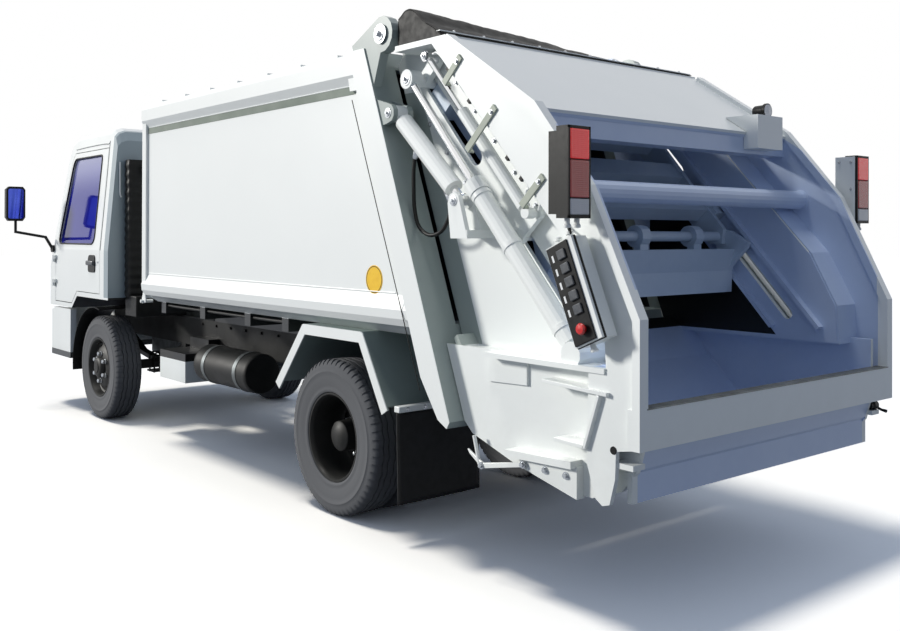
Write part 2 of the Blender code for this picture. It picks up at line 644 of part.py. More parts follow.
def shrunk(outline, gap):
    """Outline moved towards its inside by gap."""
    area = sum(ax * by - bx * ay for (ax, ay), (bx, by) in zip(outline, outline[1:] + outline[:1]))
    sign = 1 if area > 0 else -1
    result = []
    count = len(outline)
    for i in range(count):
        (px, py), (x, y), (nx, ny) = outline[i - 1], outline[i], outline[(i + 1) % count]
        a = Vector((x - px, y - py)).normalized()
        b = Vector((nx - x, ny - y)).normalized()
        na, nb = Vector((-a.y, a.x)) * sign, Vector((-b.y, b.x)) * sign
        mitre = (na + nb) / (1 + na.dot(nb))
        result.append((x + gap * mitre.x, y + gap * mitre.y))
    return result


def hinge_leaf(side, forward, low):
    """Half a door hinge: a knuckle on the hinge's axis and the leaf that joins it to its panel."""
    x, y = DOOR_PIN
    leaf = sorted((x + forward * 0.008, x + forward * 0.030))
    return [bar((x, side * y, low), (x, side * y, low + HINGE_LEAF), 0.012, 12),
            block(leaf, span(side, CAB_HALF_W - 0.006, y + 0.006), (low, low + HINGE_LEAF))]


def make_cab():
    glass_out, glass_in = 0.014, 0.022
    cuts = []
    for _, side in sides():
        cuts.append(extruded(DOOR_OUTLINE, "Y", *span(side, 0.40, 1.2)))
    cuts.append(extruded(WINDSCREEN, "X", 2.75, 3.40))
    cuts.append(extruded(REAR_WINDOW, "X", 1.60, 1.95))
    shell = joined([cab_solid(0.0)], [cab_solid(CAB_WALL)] + cuts)
    knuckles = [piece for _, side in sides() for low in DOOR_HINGES for piece in hinge_leaf(side, 1, low)]
    shell = joined([shell] + knuckles)
    node(shell, "cab_shell", "white_paint")
    for name, outline, reach in (("windscreen", WINDSCREEN, (2.75, 3.40)), ("rear_window", REAR_WINDOW, (1.60, 1.95))):
        pane = common(cab_skin(glass_out, glass_in), extruded(shrunk(list(outline), SEAT), "X", *reach))
        node(pane, name, "glass")
    for label, side in sides():
        reach = span(side, 0.50, 1.2)
        door = common(cab_skin(0.0, CAB_WALL), extruded(shrunk(list(DOOR_OUTLINE), RUN), "Y", *reach))
        handle = block((2.10, 2.24), span(side, CAB_HALF_W - 0.01, CAB_HALF_W + 0.022), (1.185, 1.215))
        leaves = [piece for low in DOOR_HINGES for piece in hinge_leaf(side, -1, low + HINGE_LEAF + SEAT)]
        door = joined([door, handle] + leaves, [extruded(DOOR_WINDOW, "Y", *span(side, 0.5, 1.2))])
        axis = (DOOR_PIN[0], side * DOOR_PIN[1], DOOR_HINGES[0])
        node(door, f"door_{label}", "white_paint", origin=axis)
        pane = common(cab_skin(glass_out, glass_in), extruded(shrunk(list(DOOR_WINDOW), SEAT), "Y", *reach))
        node(pane, f"door_glass_{label}", "glass", origin=axis)
        make_mirror(label, side)
    make_cab_front()
    make_cab_inside()
    stack = [block((1.50, 1.70), (0.42, 0.62), (RAIL_TOP + 0.02, 1.98)),
             block((1.50, 1.70), (0.32, 0.60), (RAIL_TOP + SEAT, RAIL_TOP + 0.06))]
    node(joined(stack), "air_intake", "black_plastic")


def make_mirror(label, side):
    panel = CAB_HALF_W
    knee = Vector((3.16, side * (panel + 0.28), 1.44))
    pieces = [bar((3.065, side * (panel + SEAT), 1.30), (3.065, side * (panel + 0.02), 1.30), 0.030, 10),
              bar((3.065, side * (panel + 0.012), 1.30), (3.10, side * (panel + 0.06), 1.40), 0.012, 8),
              bar((3.095, side * (panel + 0.05), 1.395), knee, 0.012, 8),
              bar(knee - Vector((0, 0, 0.01)), knee + Vector((0, 0, 0.12)), 0.011, 8)]
    near, far = panel + 0.21, panel + 0.36
    head = [(near, 1.56), (near + 0.02, 1.53), (far - 0.02, 1.53), (far, 1.56), (far, 1.79), (far - 0.025, 1.815),
            (near + 0.02, 1.815), (near, 1.79)]
    pieces.append(extruded([(side * y, z) for y, z in head], "X", 3.135, 3.185))
    node(joined(pieces), f"mirror_{label}", "black_plastic")


def make_cab_front():
    pieces = [block((CAB_FRONT_X + SEAT, 3.235), (-0.56, 0.56), (1.02, 1.14))]
    for _, side in sides():
        pieces.append(block((CAB_FRONT_X + SEAT, 3.238), span(side, 0.50, 0.735), (0.90, 1.04)))
    node(joined(pieces), "front_panel", "black_plastic")


def make_cab_inside():
    dash = [(2.72, 1.02), (2.99, 1.02), (3.05, 1.24), (2.98, 1.31), (2.80, 1.29), (2.72, 1.20)]
    reach = CAB_HALF_W - 0.16
    node(joined([extruded(dash, "Y", -reach, reach),
                 block((2.84, 2.96), (-reach, reach), (CAB_LOW + CAB_FLOOR_T + SEAT, 1.03))]),
         "dashboard", "black_plastic")
    hub = Vector((2.56, -0.36, 1.45))
    lean = Vector((-0.62, 0, 0.78)).normalized()
    ring = 0.20
    turns = [math.tau * k / 20 for k in range(20)]
    side_way = Vector((0, 1, 0))
    up_way = lean.cross(side_way)
    shape = bmesh.new()
    rings = []
    for turn in turns:
        out = math.cos(turn) * side_way + math.sin(turn) * up_way
        rings.append([shape.verts.new(hub + out * (ring + 0.014 * math.cos(a)) + lean * 0.014 * math.sin(a))
                      for a in [math.tau * k / 6 for k in range(6)]])
    for near, far in zip(rings, rings[1:] + rings[:1]):
        for k in range(6):
            m = (k + 1) % 6
            shape.faces.new((near[k], near[m], far[m], far[k]))
    rim = to_object(shape)
    pieces = [rim, bar(hub - side_way * ring, hub + side_way * ring, 0.012, 8),
              bar(hub + lean * 0.02, hub - lean * 0.10, 0.035, 12)]
    foot = Vector((2.694, -0.36, 1.16))
    pieces.append(bar(hub - lean * 0.05, foot, 0.025, 10))
    pieces.append(block((2.69, 2.72 - SEAT), (-0.41, -0.31), (1.11, 1.20)))
    node(joined(pieces), "steering_wheel", "black_plastic")

    floor = CAB_FLOOR + CAB_FLOOR_T + SEAT
    reach = CAB_HALF_W - 0.20
    pieces = [block((1.92, 2.34), (-reach, reach), (floor, 1.13))]
    for low, high in ((-reach, -0.14), (-0.10, reach)):
        cushion = [(1.95, 1.12), (2.44, 1.12), (2.47, 1.16), (2.44, 1.22), (2.05, 1.20), (1.98, 1.80), (1.90, 1.80),
                   (1.90, 1.16)]
        pieces.append(extruded(cushion, "Y", low, high))
    node(joined(pieces), "seats", "cloth")


# Tailgate

GATE_ROOF = 2.288
WING_LINE = ((-2.083, GATE_ROOF - 0.020), (-2.95, 1.34), (-3.08, 1.10), (-3.09, 0.94))
REAR_LINE = ((-2.19, GATE_ROOF - 0.020), (-2.72, 1.93), (-3.00, 1.60), (-3.233, 1.13), (-3.233, 0.68))
TUB_LINE = ((-3.218, 0.80), (-3.16, 0.60), (-3.06, 0.505), (-2.90, 0.475), (-2.70, 0.500), (-2.50, 0.600),
            (-2.30, 0.790), (-2.16, 0.985))


def upper_side_outline():
    """Inner side plate above the ledge, with its hinge lug."""
    gap = RUN
    outline = [(split_x(0.93, gap), 0.93), (split_x(2.24, gap), 2.24), (-1.645, GATE_ROOF - 0.004)]
    outline += [(HINGE_X + 0.075 * math.cos(t), HINGE_Z + 0.075 * math.sin(t))
                for t in [math.radians(-20 + 25 * k) for k in range(9)]]
    return outline + [(-1.81, GATE_ROOF - 0.004), (-2.07, GATE_ROOF - 0.004), *WING_LINE[:3], (-3.09, 0.93)]


def lower_side_outline():
    """Side plate of the tub below the ledge."""
    gap = RUN
    return [(split_x(0.95, gap), 0.95), (split_x(0.63, gap), 0.63), (-2.28, 0.585), (-2.55, 0.50),
            (-2.80, 0.447), (-2.96, 0.450), (-3.10, 0.50), (-3.17, 0.58), (-3.20, 0.70), (-3.20, 0.95)]


def make_tailgate_shell():
    pieces = []
    cuts = []
    roof_half = WING_OUT_Y - 0.005
    for _, side in sides():
        inner = span(side, SIDE_IN_Y, SIDE_IN_Y + SIDE_T)
        pieces.append(extruded(upper_side_outline(), "Y", *inner))
        lower = span(side, LOWER_OUT_Y - SIDE_T, LOWER_OUT_Y)
        pieces.append(extruded(lower_side_outline(), "Y", *lower))
        pieces.append(bar((HINGE_X, side * (SIDE_IN_Y + 0.005), HINGE_Z),
                          (HINGE_X, side * (HINGE_EAR_IN_Y - SEAT), HINGE_Z), 0.062, 16))
        cuts.append(bar((HINGE_X, side * (SIDE_IN_Y - 0.1), HINGE_Z), (HINGE_X, side * (WING_OUT_Y + 0.1), HINGE_Z),
                        HINGE_PIN_R + PIN_PLAY, 16))
        leg = [(-3.13, 0.66), (-3.126, 0.56), (-3.10, 0.465), (-3.066, 0.455), (-3.035, 0.475), (-2.99, 0.60),
               (-3.00, 0.94)]
        wing = [WING_LINE[0], *REAR_LINE, *leg, *WING_LINE[:0:-1]]
        pieces.append(extruded(wing, "Y", *span(side, WING_OUT_Y - SIDE_T, WING_OUT_Y)))
        rim = band(list(REAR_LINE), 0.034)
        pieces.append(extruded(rim, "Y", *span(side, WING_OUT_Y - 0.030, BODY_HALF_W)))
        step = band([(WING_LINE[0][0] + 0.012, WING_LINE[0][1] + 0.007)] + list(WING_LINE[1:]), 0.018)
        pieces.append(extruded(step, "Y", *span(side, SIDE_IN_Y + 0.004, WING_OUT_Y - 0.003)))
        pieces.append(block((-3.10, split_x(0.94, 0.012)), span(side, SIDE_IN_Y + 0.003, LOWER_OUT_Y - 0.003),
                            (0.925, 0.945)))
        pieces.append(block((-3.08, -2.42), span(side, LOWER_OUT_Y - 0.01, WING_OUT_Y + 0.008), (0.928, 0.948)))
        pieces.append(block((-3.20, -3.00), span(side, LOWER_OUT_Y - 0.01, WING_OUT_Y - 0.01), (0.60, 0.62)))
        pieces += gate_brackets(side)
        pieces += latch_bracket(side)
        for pin, radius in ((ROD_PIN, SLIDE_SHAFT_R), (PRESS_PIN, PRESS_SHAFT_R)):
            run = slot(xz(pin), xz(pin + SLIDE * SLIDE_STROKE), radius + RUN)
            cuts.append(extruded(run, "Y", *span(side, SIDE_IN_Y - 0.1, SIDE_IN_Y + 0.045)))
        for offset, past_pin in ((-0.095, 0.50), (0.095, 0.66)):
            start = ROD_PIN - SLIDE * 0.02 + SLIDE_NORMAL * offset
            end = PRESS_PIN + SLIDE * past_pin + SLIDE_NORMAL * offset
            guide = band([xz(start), xz(end)], 0.018)
            pieces.append(extruded(guide, "Y", *span(side, GUIDE_IN_Y, SIDE_IN_Y + 0.004)))
    pieces.append(block((-2.165, -1.80), (-roof_half, roof_half), (GATE_ROOF - 0.026, GATE_ROOF)))
    pieces.append(extruded(band([(-2.15, 2.274), (-2.72, 1.908)], 0.028), "Y", -roof_half, roof_half))
    pieces.append(block((-2.71, -2.60), (-roof_half + 0.01, roof_half - 0.01), (1.82, 1.90)))
    pieces.append(bar((-2.80, -WING_OUT_Y + 0.01, 1.60), (-2.80, WING_OUT_Y - 0.01, 1.60), 0.0445, 16))
    tub = extruded(band(list(TUB_LINE), SHEET), "Y", -LOWER_OUT_Y + 0.004, LOWER_OUT_Y - 0.004)
    pieces.append(tub)
    pieces.append(block((LIP_X, -3.195), (-BODY_HALF_W, BODY_HALF_W), (LIP_LOW, LIP_TOP)))
    pieces.append(block((-3.158, -3.136), (-LOWER_OUT_Y - 0.01, LOWER_OUT_Y + 0.01), (0.470, 0.60)))
    node(joined(pieces, cuts), "tailgate_shell", "white_paint", origin=(HINGE_X, 0, HINGE_Z))


def latch_bracket(side):
    """Rail and box low on the tub's side that carry the tailgate's latch."""
    reach = span(side, LOWER_OUT_Y - 0.006, WING_OUT_Y - 0.002)
    rail = band([(-2.548, 0.556), (-2.908, 0.570)], 0.028)
    box = [(-2.606, 0.560), (-2.606, 0.520), (-2.690, 0.490), (-2.914, 0.440), (-2.914, 0.563)]
    gusset = [(-2.401, 0.935), (-2.389, 0.820), (-2.622, 0.828), (-2.622, 0.935)]
    return [extruded(rail, "Y", *reach),
            extruded(box, "Y", *span(side, LOWER_OUT_Y - 0.007, LOWER_OUT_Y + 0.035)),
            extruded(gusset, "Y", *span(side, LOWER_OUT_Y - 0.004, LOWER_OUT_Y + 0.012))]


def gate_brackets(side):
    """Ears for the lift cylinder's eye and for the low end of the slide cylinder."""
    pieces = []
    x, z = xz(LIFT_GATE_PIN)
    for low, high in ((SIDE_IN_Y + 0.005, LIFT_EYE_IN_Y), (LIFT_EYE_OUT_Y, LIFT_EYE_OUT_Y + 0.022)):
        ear = [(x - 0.030, z + 0.022), (x - 0.004, z + 0.038), (x + 0.026, z + 0.028), (x + 0.040, z - 0.01),
               (x + 0.02, z - 0.16), (x - 0.09, z - 0.16)]
        pieces.append(extruded(ear, "Y", *span(side, low, high)))
    pieces.append(block((x - 0.088, x - 0.010), span(side, SIDE_IN_Y + 0.004, LIFT_EYE_OUT_Y + 0.021),
                        (z - 0.158, z - 0.125)))
    foot = ROD_PIN + SLIDE * 1.56
    pieces.append(extruded(disc(foot.x, foot.z, 0.050, 12), "Y", *span(side, SIDE_IN_Y + 0.004, WING_OUT_Y - 0.009)))
    seat = foot + Vector((0, side * CYLINDER_Y, 0))
    pieces.append(bar(seat, seat - SLIDE * (0.052 - SEAT), 0.034, 12))
    return pieces


def make_slide_cylinder(label, side):
    """Barrel of the slide cylinder, fixed to the tailgate with its axis along the slide."""
    near, far = ROD_PIN + SLIDE * 0.675, ROD_PIN + SLIDE * (1.56 - 0.052)
    out = Vector((0, side * CYLINDER_Y, 0))
    barrel = bar(out + near, out + far, 0.042, 16)
    gland = bar(out + near - SLIDE * 0.012, out + near + SLIDE * 0.05, 0.048, 16)
    bore = bar(out + near - SLIDE * 0.1, out + far - SLIDE * 0.03, 0.018 + SEAT, 12)
    node(joined([barrel, gland], [bore]), f"slide_cylinder_{label}", "white_paint", smooth=True)


def make_slider():
    """Carriage that runs down the tailgate's guides, with its rods and the shaft of the press plate."""
    eye_end, pin_end = CYLINDER_Y + 0.025, CARRIAGE_OUT_Y - 0.005
    pieces = [bar((ROD_PIN.x, -eye_end + 0.002, ROD_PIN.z), (ROD_PIN.x, eye_end - 0.002, ROD_PIN.z), SLIDE_SHAFT_R, 16),
              bar((PRESS_PIN.x, -pin_end, PRESS_PIN.z), (PRESS_PIN.x, pin_end, PRESS_PIN.z), PRESS_PIN_R, 16)]
    for _, side in sides():
        top, low = ROD_PIN, PRESS_PIN
        plate = [xz(top + SLIDE_NORMAL * 0.075 - SLIDE * 0.02), xz(low + SLIDE_NORMAL * 0.055),
                 xz(low + SLIDE * 0.05), xz(low - SLIDE_NORMAL * 0.055), xz(top - SLIDE_NORMAL * 0.075 - SLIDE * 0.02)]
        pieces.append(extruded(plate, "Y", *span(side, CARRIAGE_IN_Y, CARRIAGE_OUT_Y)))
        for along in (0.10, 0.80):
            centre = top + SLIDE * along
            shoe = band([xz(centre - SLIDE * 0.07), xz(centre + SLIDE * 0.07)], 0.150)
            pieces.append(extruded(shoe, "Y", *span(side, CARRIAGE_OUT_Y - 0.010, SIDE_IN_Y - SEAT)))
        out = Vector((0, side * CYLINDER_Y, 0))
        pieces.append(bar(out + top, out + top + SLIDE * (PRESS_LENGTH - 0.02), 0.018, 12))
        pieces.append(extruded(disc(*xz(top), 0.045), "Y", *span(side, CYLINDER_Y - 0.040, eye_end)))
        arm = band([xz(top), xz(TRUNNION_PIN)], 0.060)
        pieces.append(extruded(arm, "Y", *span(side, ARM_IN_Y, ARM_OUT_Y)))
        pieces.append(extruded(disc(*xz(TRUNNION_PIN), 0.026, 12), "Y", *span(side, ARM_IN_Y, ARM_OUT_Y)))
        pin = TRUNNION_PIN + Vector((0, side * (ARM_OUT_Y - 0.015), 0))
        pieces.append(bar(pin, pin + Vector((0, side * 0.085, 0)), CRANK_PIN_R, 12))
    for along in (0.30, 0.55, 0.78):
        centre = ROD_PIN + SLIDE * along
        cross = [xz(centre + SLIDE_NORMAL * 0.05 - SLIDE * 0.05), xz(centre + SLIDE_NORMAL * 0.05 + SLIDE * 0.05),
                 xz(centre - SLIDE_NORMAL * 0.03 + SLIDE * 0.05), xz(centre - SLIDE_NORMAL * 0.03 - SLIDE * 0.05)]
        pieces.append(extruded(cross, "Y", -CARRIAGE_IN_Y - 0.010, CARRIAGE_IN_Y + 0.010))
    node(joined(pieces), "slider", "white_paint", origin=ROD_PIN)


def make_press_plate():
    x, z = xz(PRESS_PIN)
    panel = [(x - 0.090, z - 0.062), (x + 0.010, z - 0.062), (x + 0.008, z - 0.160), (x - 0.022, z - 0.270),
             (x - 0.052, z - 0.276), (x - 0.056, z - 0.170)]
    pieces = [extruded(panel, "Y", -PANEL_OUT_Y, PANEL_OUT_Y)]
    for y in (-0.40, 0.0, 0.40):
        lug = disc(x, z, 0.052, 14)
        pieces.append(extruded(lug, "Y", y - 0.03, y + 0.03))
        pieces.append(block((x - 0.035, x + 0.005), (y - 0.029, y + 0.029), (z - 0.10, z - 0.03)))
    for _, side in sides():
        near = CARRIAGE_OUT_Y + SEAT
        gusset = [(x + 0.034, z + 0.004), (x + 0.004, z + 0.034), (x - 0.060, z + 0.028), (x - 0.164, z - 0.030),
                  (x - 0.150, z - 0.060), (x - 0.062, z - 0.150), (x + 0.002, z - 0.100)]
        pieces.append(extruded(gusset, "Y", *span(side, near, PANEL_OUT_Y + 0.001)))
        pieces.append(bar((x, side * near, z), (x, side * ARM_OUT_Y, z), PRESS_SHAFT_R, 16))
        crank = (ARM_IN_Y + 0.002, ARM_OUT_Y)
        pieces.append(extruded(band([(x, z), xz(CRANK_PIN)], 0.050), "Y", *span(side, *crank)))
        pieces.append(extruded(disc(x, z, 0.034, 12), "Y", *span(side, crank[0] + 0.001, crank[1] + 0.001)))
        pieces.append(extruded(disc(*xz(CRANK_PIN), 0.028, 12), "Y", *span(side, *crank)))
        pin = CRANK_PIN + Vector((0, side * (ARM_OUT_Y - 0.015), 0))
        pieces.append(bar(pin, pin + Vector((0, side * 0.034, 0)), CRANK_PIN_R, 12))
    reach = CARRIAGE_IN_Y - 0.010
    cuts = [bar((x, -reach, z), (x, reach, z), PRESS_PIN_R + PIN_PLAY, 16)]
    node(joined(pieces, cuts), "press_plate", "white_paint", origin=PRESS_PIN)


def make_press_cylinder(label, side):
    """Cylinder beside the slide cylinder: its rod hangs on the carriage's arm, its barrel drives the crank."""
    out = Vector((0, side * PRESS_CYLINDER_Y, 0))
    near, far = out + TRUNNION_PIN, out + CRANK_PIN
    eye_end = PRESS_CYLINDER_Y + 0.018
    eye = extruded(disc(*xz(TRUNNION_PIN), 0.026, 14), "Y", *span(side, ARM_OUT_Y + SEAT, eye_end))
    rod = bar(near + SLIDE * 0.010, far - SLIDE * 0.25, 0.014, 12)
    pin_hole = bar(near - Vector((0, 0.1, 0)), near + Vector((0, 0.1, 0)), CRANK_PIN_R + PIN_PLAY, 12)
    node(joined([eye, rod], [pin_hole]), f"press_rod_{label}", "chrome", smooth=True, origin=near)
    tip = extruded(disc(*xz(CRANK_PIN), 0.024, 14), "Y", *span(side, CRANK_PIN_END_Y + SEAT, eye_end))
    neck = bar(far - SLIDE * 0.060, far - SLIDE * 0.010, 0.014, 12)
    barrel = bar(far - SLIDE * 0.60, far - SLIDE * 0.032, 0.027, 14)
    bore = bar(far - SLIDE * 0.70, far - SLIDE * 0.10, 0.014 + SEAT, 12)
    node(joined([tip, neck, barrel], [bore]), f"press_barrel_{label}", "white_paint", smooth=True, origin=far)


def make_lift_cylinder(label, side):
    out = Vector((0, side * LIFT_Y, 0))
    body_pin, gate_pin = out + LIFT_BODY_PIN, out + LIFT_GATE_PIN
    along = (gate_pin - body_pin).normalized()
    length = (gate_pin - body_pin).length
    eye_y = span(side, LIFT_EYE_IN_Y + SEAT, LIFT_EYE_OUT_Y - SEAT)
    eye = extruded(disc(LIFT_BODY_PIN.x, LIFT_BODY_PIN.z, 0.040, 14), "Y", *eye_y)
    barrel = bar(body_pin + along * 0.062, body_pin + along * (length - 0.085), 0.043, 16)
    bore = bar(body_pin + along * 0.12, body_pin + along * length, 0.020 + SEAT, 12)
    pin_hole = bar(body_pin - Vector((0, 0.1, 0)), body_pin + Vector((0, 0.1, 0)), LIFT_PIN_R + PIN_PLAY, 12)
    neck_start = body_pin + along * 0.030
    neck = bar(neck_start, body_pin + along * 0.08, 0.022, 12)
    node(joined([eye, neck, barrel], [bore, pin_hole]), f"lift_barrel_{label}", "white_paint", smooth=True,
         origin=body_pin)
    rod = bar(body_pin + along * 0.13, gate_pin - along * 0.02, 0.020, 12)
    tip = extruded(disc(LIFT_GATE_PIN.x, LIFT_GATE_PIN.z, 0.033, 14), "Y", *eye_y)
    node(joined([rod, tip]), f"lift_rod_{label}", "chrome", smooth=True, origin=gate_pin)


def make_gate_fittings():
    top = GATE_ROOF + SEAT
    loops = []
    half = WING_OUT_Y - 0.005
    for y, rise in ((-half, 0.010), (-0.30, 0.050), (0.40, 0.085), (half, 0.100)):
        edge = [(-2.17, top), (-1.86, top), (-1.83, top + 0.03 + rise * 0.6), (-2.00, top + 0.012 + rise),
                (-2.16, top + 0.008)]
        loops.append([(x, y, z) for x, z in edge])
    node(lofted(loops), "hinge_cover", "rubber")
    for label, side in sides():
        rear = -3.054
        inner, outer = BODY_HALF_W + 0.039, BODY_HALF_W + 0.153
        pieces = [block((rear, rear + 0.055), span(side, inner, outer), (1.485, 1.811)),
                  block((rear + 0.05, rear + 0.105), span(side, inner + 0.012, outer - 0.012), (1.50, 1.796)),
                  block((-2.985, -2.955), span(side, BODY_HALF_W + SEAT, inner + 0.060), (1.55, 1.60))]
        node(joined(pieces), f"tail_lamp_{label}", "lamp_red")
    centre_line = [(-2.942, 1.398), (-3.092, 1.048)]
    box = extruded(band(centre_line, 0.135), "Y", WING_OUT_Y + 0.020 + SEAT, WING_OUT_Y + 0.100)
    foot = extruded(band([(-2.99, 1.29), (-3.05, 1.15)], 0.08), "Y", WING_OUT_Y + SEAT, WING_OUT_Y + 0.065)
    node(joined([box, foot]), "switch_box", "black_plastic")
    box = [(-2.607, 2.000), (-2.7285, 1.921), (-2.7128, 1.895), (-2.7128, 1.84), (-2.79, 1.84), (-2.79, 2.000)]
    lamp_y = -SIDE_IN_Y + 0.010
    pieces = [extruded(box, "Y", -SIDE_IN_Y - 0.030, -SIDE_IN_Y + 0.180),
              bar((-2.70, lamp_y, 1.99), (-2.70, lamp_y, 2.02), 0.012, 8),
              bar((-2.72, lamp_y, 2.035), (-2.67, lamp_y, 2.035), 0.026, 12)]
    node(joined(pieces), "lamp_bracket", "white_paint")


def make_tailgate():
    make_tailgate_shell()
    make_slider()
    make_press_plate()
    make_gate_fittings()
    for label, side in sides():
        make_slide_cylinder(label, side)
        make_press_cylinder(label, side)
        make_lift_cylinder(label, side)


def main():
    clear_scene()
    make_finishes()
    make_chassis()
    make_front_axle()
    make_rear_axle()
    make_engine()
    make_tanks()
    make_bumper()
    for label, side in sides():
        make_knuckle(label, side)
    make_wheels()
    make_body()
    make_mudguards()
    make_ejector()
    make_cab()
    make_tailgate()


main()
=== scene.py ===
"""Looks of a light garbage truck with a press-type rear hopper.

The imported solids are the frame. This script gives each surface its finish, puts modelled tyres,
rims, seats and rubber sheets in the place of the plain solids, and adds the small fittings.
Metres, +X forward, +Y the truck's left, +Z up.
"""
from __future__ import annotations

import logging
import math
from dataclasses import dataclass
from enum import Enum
from typing import Iterable, Sequence

import bmesh
import bpy
from mathutils import Matrix, Vector, noise

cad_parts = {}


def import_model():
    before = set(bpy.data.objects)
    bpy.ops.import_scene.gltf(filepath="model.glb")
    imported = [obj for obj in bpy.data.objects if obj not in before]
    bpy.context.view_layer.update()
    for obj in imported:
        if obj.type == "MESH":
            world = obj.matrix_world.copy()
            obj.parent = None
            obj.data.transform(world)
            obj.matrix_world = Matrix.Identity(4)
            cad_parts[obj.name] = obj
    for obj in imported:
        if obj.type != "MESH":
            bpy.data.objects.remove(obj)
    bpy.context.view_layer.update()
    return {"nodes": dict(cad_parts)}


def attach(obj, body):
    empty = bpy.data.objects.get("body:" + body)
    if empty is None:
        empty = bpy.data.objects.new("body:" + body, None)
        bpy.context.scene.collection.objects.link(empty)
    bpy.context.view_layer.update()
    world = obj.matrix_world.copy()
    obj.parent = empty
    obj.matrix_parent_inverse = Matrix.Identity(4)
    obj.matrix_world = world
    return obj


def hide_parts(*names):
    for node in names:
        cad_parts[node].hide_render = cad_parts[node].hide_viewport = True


LOG = logging.getLogger("garbage_truck")
IMAGE_SIZE = (900, 631)
X, Y, Z = Vector((1, 0, 0)), Vector((0, 1, 0)), Vector((0, 0, 1))
FRONT_AXLE_X = 2.15
REAR_AXLE_X = -1.20
AXLE_HEIGHT = 0.395

Outline = Sequence[tuple[float, float]]
Planes = tuple[tuple[float, float, float, float], ...]
Socket = bpy.types.NodeSocket


class Side(Enum):
    """The truck's two sides, with the sign of Y on each."""

    LEFT = ("L", 1)
    RIGHT = ("R", -1)

    @property
    def label(self) -> str:
        """Letter that ends the names of this side's pieces."""
        return self.value[0]

    @property
    def sign(self) -> int:
        """Sign of Y on this side."""
        return self.value[1]


# Finishes

def linear(code: str) -> tuple[float, float, float, float]:
    """Turn an sRGB hex colour to linear values.

    Args:
        code: A hash sign and six hex digits.

    Returns:
        Red, green, blue and alpha from 0 to 1.
    """
    parts = [int(code[i:i + 2], 16) / 255 for i in (1, 3, 5)]
    return (*[p / 12.92 if p <= 0.04045 else ((p + 0.055) / 1.055) ** 2.4 for p in parts], 1.0)


def add_node(tree: bpy.types.NodeTree, kind: str, values: dict | None = None, links: dict | None = None,
             **settings: object) -> bpy.types.Node:
    """Add a node to a material.

    Args:
        tree: The material's node tree.
        kind: Blender's name of the node.
        values: Socket name or number, and the value it holds.
        links: Socket name or number, and the output that feeds it.
        **settings: The node's own settings.

    Returns:
        The new node.
    """
    made = tree.nodes.new(kind)
    for name, value in settings.items():
        setattr(made, name, value)
    for socket, value in (values or {}).items():
        made.inputs[socket].default_value = value
    for socket, source in (links or {}).items():
        tree.links.new(source, made.inputs[socket])
    return made


def maths(tree: bpy.types.NodeTree, operation: str, first: Socket, second: Socket) -> Socket:
    """Sum, product or larger of two sockets."""
    return add_node(tree, "ShaderNodeMath", links={0: first, 1: second}, operation=operation).outputs[0]


def mixed(tree: bpy.types.NodeTree, share: Socket, first: str | Socket, second: str | Socket) -> Socket:
    """Blend two colours.

    Args:
        tree: The material's node tree.
        share: How much of the second colour shows.
        first: Hex colour, or the socket of one.
        second: Hex colour, or the socket of one.

    Returns:
        The blend's socket.
    """
    values, links = {}, {0: share}
    for socket, colour in ((6, first), (7, second)):
        if isinstance(colour, str):
            values[socket] = linear(colour)
        else:
            links[socket] = colour
    return add_node(tree, "ShaderNodeMix", values, links, data_type="RGBA").outputs[2]


class Canvas:
    """A material's node tree with the place on the object, in metres, that feeds its textures."""

    def __init__(self, tree: bpy.types.NodeTree) -> None:
        """Start from the object's own coordinates."""
        self.tree = tree
        self.where = add_node(tree, "ShaderNodeTexCoord").outputs["Object"]
        self.parts = add_node(tree, "ShaderNodeSeparateXYZ", links={0: self.where}).outputs

    def cloud(self, size_mm: float, detail: float, roughness: float = 0.5) -> Socket:
        """Noise whose cells measure size_mm."""
        return add_node(self.tree, "ShaderNodeTexNoise",
                        {"Scale": 1000.0 / size_mm, "Detail": detail, "Roughness": roughness},
                        {"Vector": self.where}).outputs[0]

    def waves(self, size_mm: float, way: str, distortion: float = 0.0, profile: str = "SIN") -> Socket:
        """Bands across one axis."""
        return add_node(self.tree, "ShaderNodeTexWave", {"Scale": 1000.0 / size_mm, "Distortion": distortion},
                        {"Vector": self.where}, bands_direction=way, wave_profile=profile).outputs[0]

    def ranged(self, source: Socket, low: float, high: float, least: float = 0.0, most: float = 1.0,
               easing: str = "LINEAR") -> Socket:
        """Move a value from one range to another.

        Args:
            source: The value.
            low: Where its range starts.
            high: Where its range ends.
            least: What the start turns to.
            most: What the end turns to.
            easing: Blender's name of the way between them.

        Returns:
            The new value's socket.
        """
        return add_node(self.tree, "ShaderNodeMapRange", {1: low, 2: high, 3: least, 4: most}, {0: source},
                        interpolation_type=easing).outputs[0]

    def within(self, planes: Planes) -> Socket:
        """Mask of a region that planes bound.

        Args:
            planes: Rows (a, b, c, d); a point is inside where a*x + b*|y| + c*z + d > 0 for each.

        Returns:
            A socket that is 1 in the region and 0 outside it.
        """
        width = add_node(self.tree, "ShaderNodeMath", links={0: self.parts[1]},
                         operation="ABSOLUTE").outputs[0]
        spot = add_node(self.tree, "ShaderNodeCombineXYZ", links={0: self.parts[0], 1: width,
                                                                  2: self.parts[2]})
        mask = None
        for a, b, c, d in planes:
            reach = add_node(self.tree, "ShaderNodeVectorMath", {1: (a, b, c)}, {0: spot.outputs[0]},
                             operation="DOT_PRODUCT")
            side = add_node(self.tree, "ShaderNodeMath", {1: -d}, {0: reach.outputs["Value"]},
                            operation="GREATER_THAN").outputs[0]
            mask = side if mask is None else maths(self.tree, "MULTIPLY", mask, side)
        return mask


